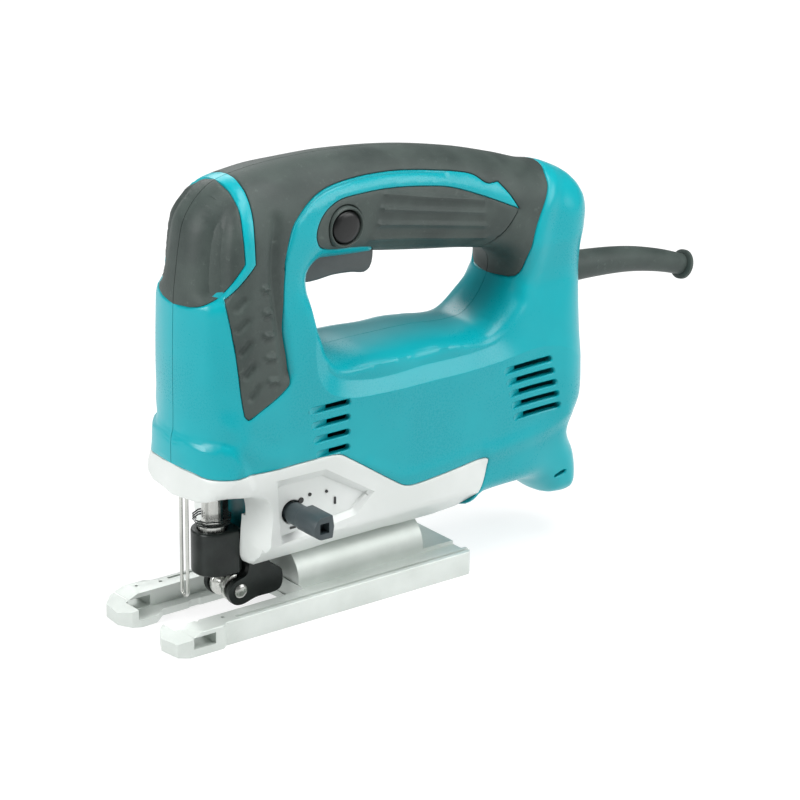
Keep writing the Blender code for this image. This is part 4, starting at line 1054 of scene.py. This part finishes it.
cutters = [box(*base["tray"]), box(*base["fence"]), prism(base["tipSlope"], "Y", -40, 40)]
cutters += [rod(base["pinRadius"], base["pinFloor"], 20, "Z", (x, y, 0), 20) for x, y in base["pins"]]
for side in (1, -1):
    for near, far, groundZ, front in base["grooves"]:
        low, high = sorted((side * near, side * far))
        cutters.append(box((-90, low, groundZ), (front, high, 20)))
outline = arc((0, base["humpZ"]), base["humpRadius"], 0, 180, 40)
outline += [(-base["humpRadius"], base["humpFoot"]), (base["humpRadius"], base["humpFoot"])]
hump = objectFrom("hump", prism(outline, "X", base["humpFrom"], base["humpTo"]))
cutWith(made, [objectFrom("baseCut", cutter) for cutter in cutters])
joinAndCut(made, hump, [objectFrom("well", rod(base["wellRadius"], -2, 40, "Z", (base["wellX"], 0, 0), 32))])
roundEdges(made, base["edge"], base["edgeAngle"])
print("base made")

# the nodes that keep their CAD mesh; these two have a finish other than their slot's, the dust guide's
# darkened teal being painted shade
finishOf = {"clamp_spring": "black_steel", "dust_guide": "guide"}
nodeSlots = {entry["node"]: entry["material_slot"] for entry in frame["record"]["subparts"]}
for name, node in frame["nodes"].items():
    if not node.hide_render:
        node.data.materials.clear()
        node.data.materials.append(finishes[finishOf.get(name, nodeSlots[name])])

studio = {
    "floorSize": 12, "paper": ((0.30, 0.30, 0.30, 1), (0.33, 0.33, 0.33, 1)), "glow": 0.72,
    "world": 0.18, "transform": "Standard"}
bpy.ops.mesh.primitive_plane_add(size=studio["floorSize"], location=(0, 0, 0))
floor = bpy.context.object
floor.name = "floor"
paper = Finish("paper")
paper.drive(Base_Color=paper.mix(paper.noise(3.0, 2.0), *studio["paper"]), Roughness=0.9,
            Emission_Color=(1, 1, 1, 1), Emission_Strength=studio["glow"])
floor.data.materials.append(paper.material)

world = bpy.data.worlds.new("studio")
world.use_nodes = True
world.node_tree.nodes["Background"].inputs["Color"].default_value = (1.0, 1.0, 1.0, 1)
world.node_tree.nodes["Background"].inputs["Strength"].default_value = studio["world"]
bpy.context.scene.world = world
bpy.context.scene.view_settings.view_transform = studio["transform"]


def areaLight(name, place, target, size, power):
    light = bpy.data.lights.new(name, "AREA")
    light.shape = "RECTANGLE"
    light.size, light.size_y = size
    light.energy = power
    made = bpy.data.objects.new(name, light)
    made.location = place
    made.rotation_mode = "QUATERNION"
    made.rotation_quaternion = (Vector(target) - Vector(place)).to_track_quat("-Z", "Y")
    bpy.context.scene.collection.objects.link(made)


# place, what it points at, width and height in metres, power in watts
lights = {
    "overhead": ((-0.15, 0.25, 1.1), (-0.05, 0, 0.1), (0.9, 0.7), 11),
    "rearSide": ((-0.9, 1.1, 0.8), (-0.05, 0, 0.1), (0.9, 0.9), 12),
    "front": ((1.35, -0.1, 0.75), (0, 0, 0.1), (0.5, 0.7), 16),
    "farSide": ((-0.4, -1.2, 0.9), (-0.05, 0, 0.1), (0.9, 0.7), 8),
}
for name, settings in lights.items():
    areaLight(name, *settings)

view = {"azimuth": 142.63, "elevation": 20.56, "roll": 0.36, "lens": 180, "distance": 1.7748,
        "target": (-0.0578, 0, 0.0784)}
around, above, roll = (radians(view[key]) for key in ("azimuth", "elevation", "roll"))
back = Vector((sin(around) * cos(above), -cos(around) * cos(above), sin(above)))
right = Vector((cos(around), sin(around), 0))
up = back.cross(right)
rolledRight = right * cos(roll) + up * sin(roll)
rolledUp = up * cos(roll) - right * sin(roll)
axes = Matrix((rolledRight, rolledUp, back)).transposed().to_4x4()
camera = bpy.data.objects.new("camera", bpy.data.cameras.new("camera"))
camera.data.lens = view["lens"]
camera.data.sensor_width = 36
camera.data.clip_start = 0.05
camera.data.clip_end = 50
camera.matrix_world = Matrix.Translation(Vector(view["target"]) + back * view["distance"]) @ axes
bpy.context.scene.collection.objects.link(camera)
bpy.context.scene.camera = camera
print("studio made")
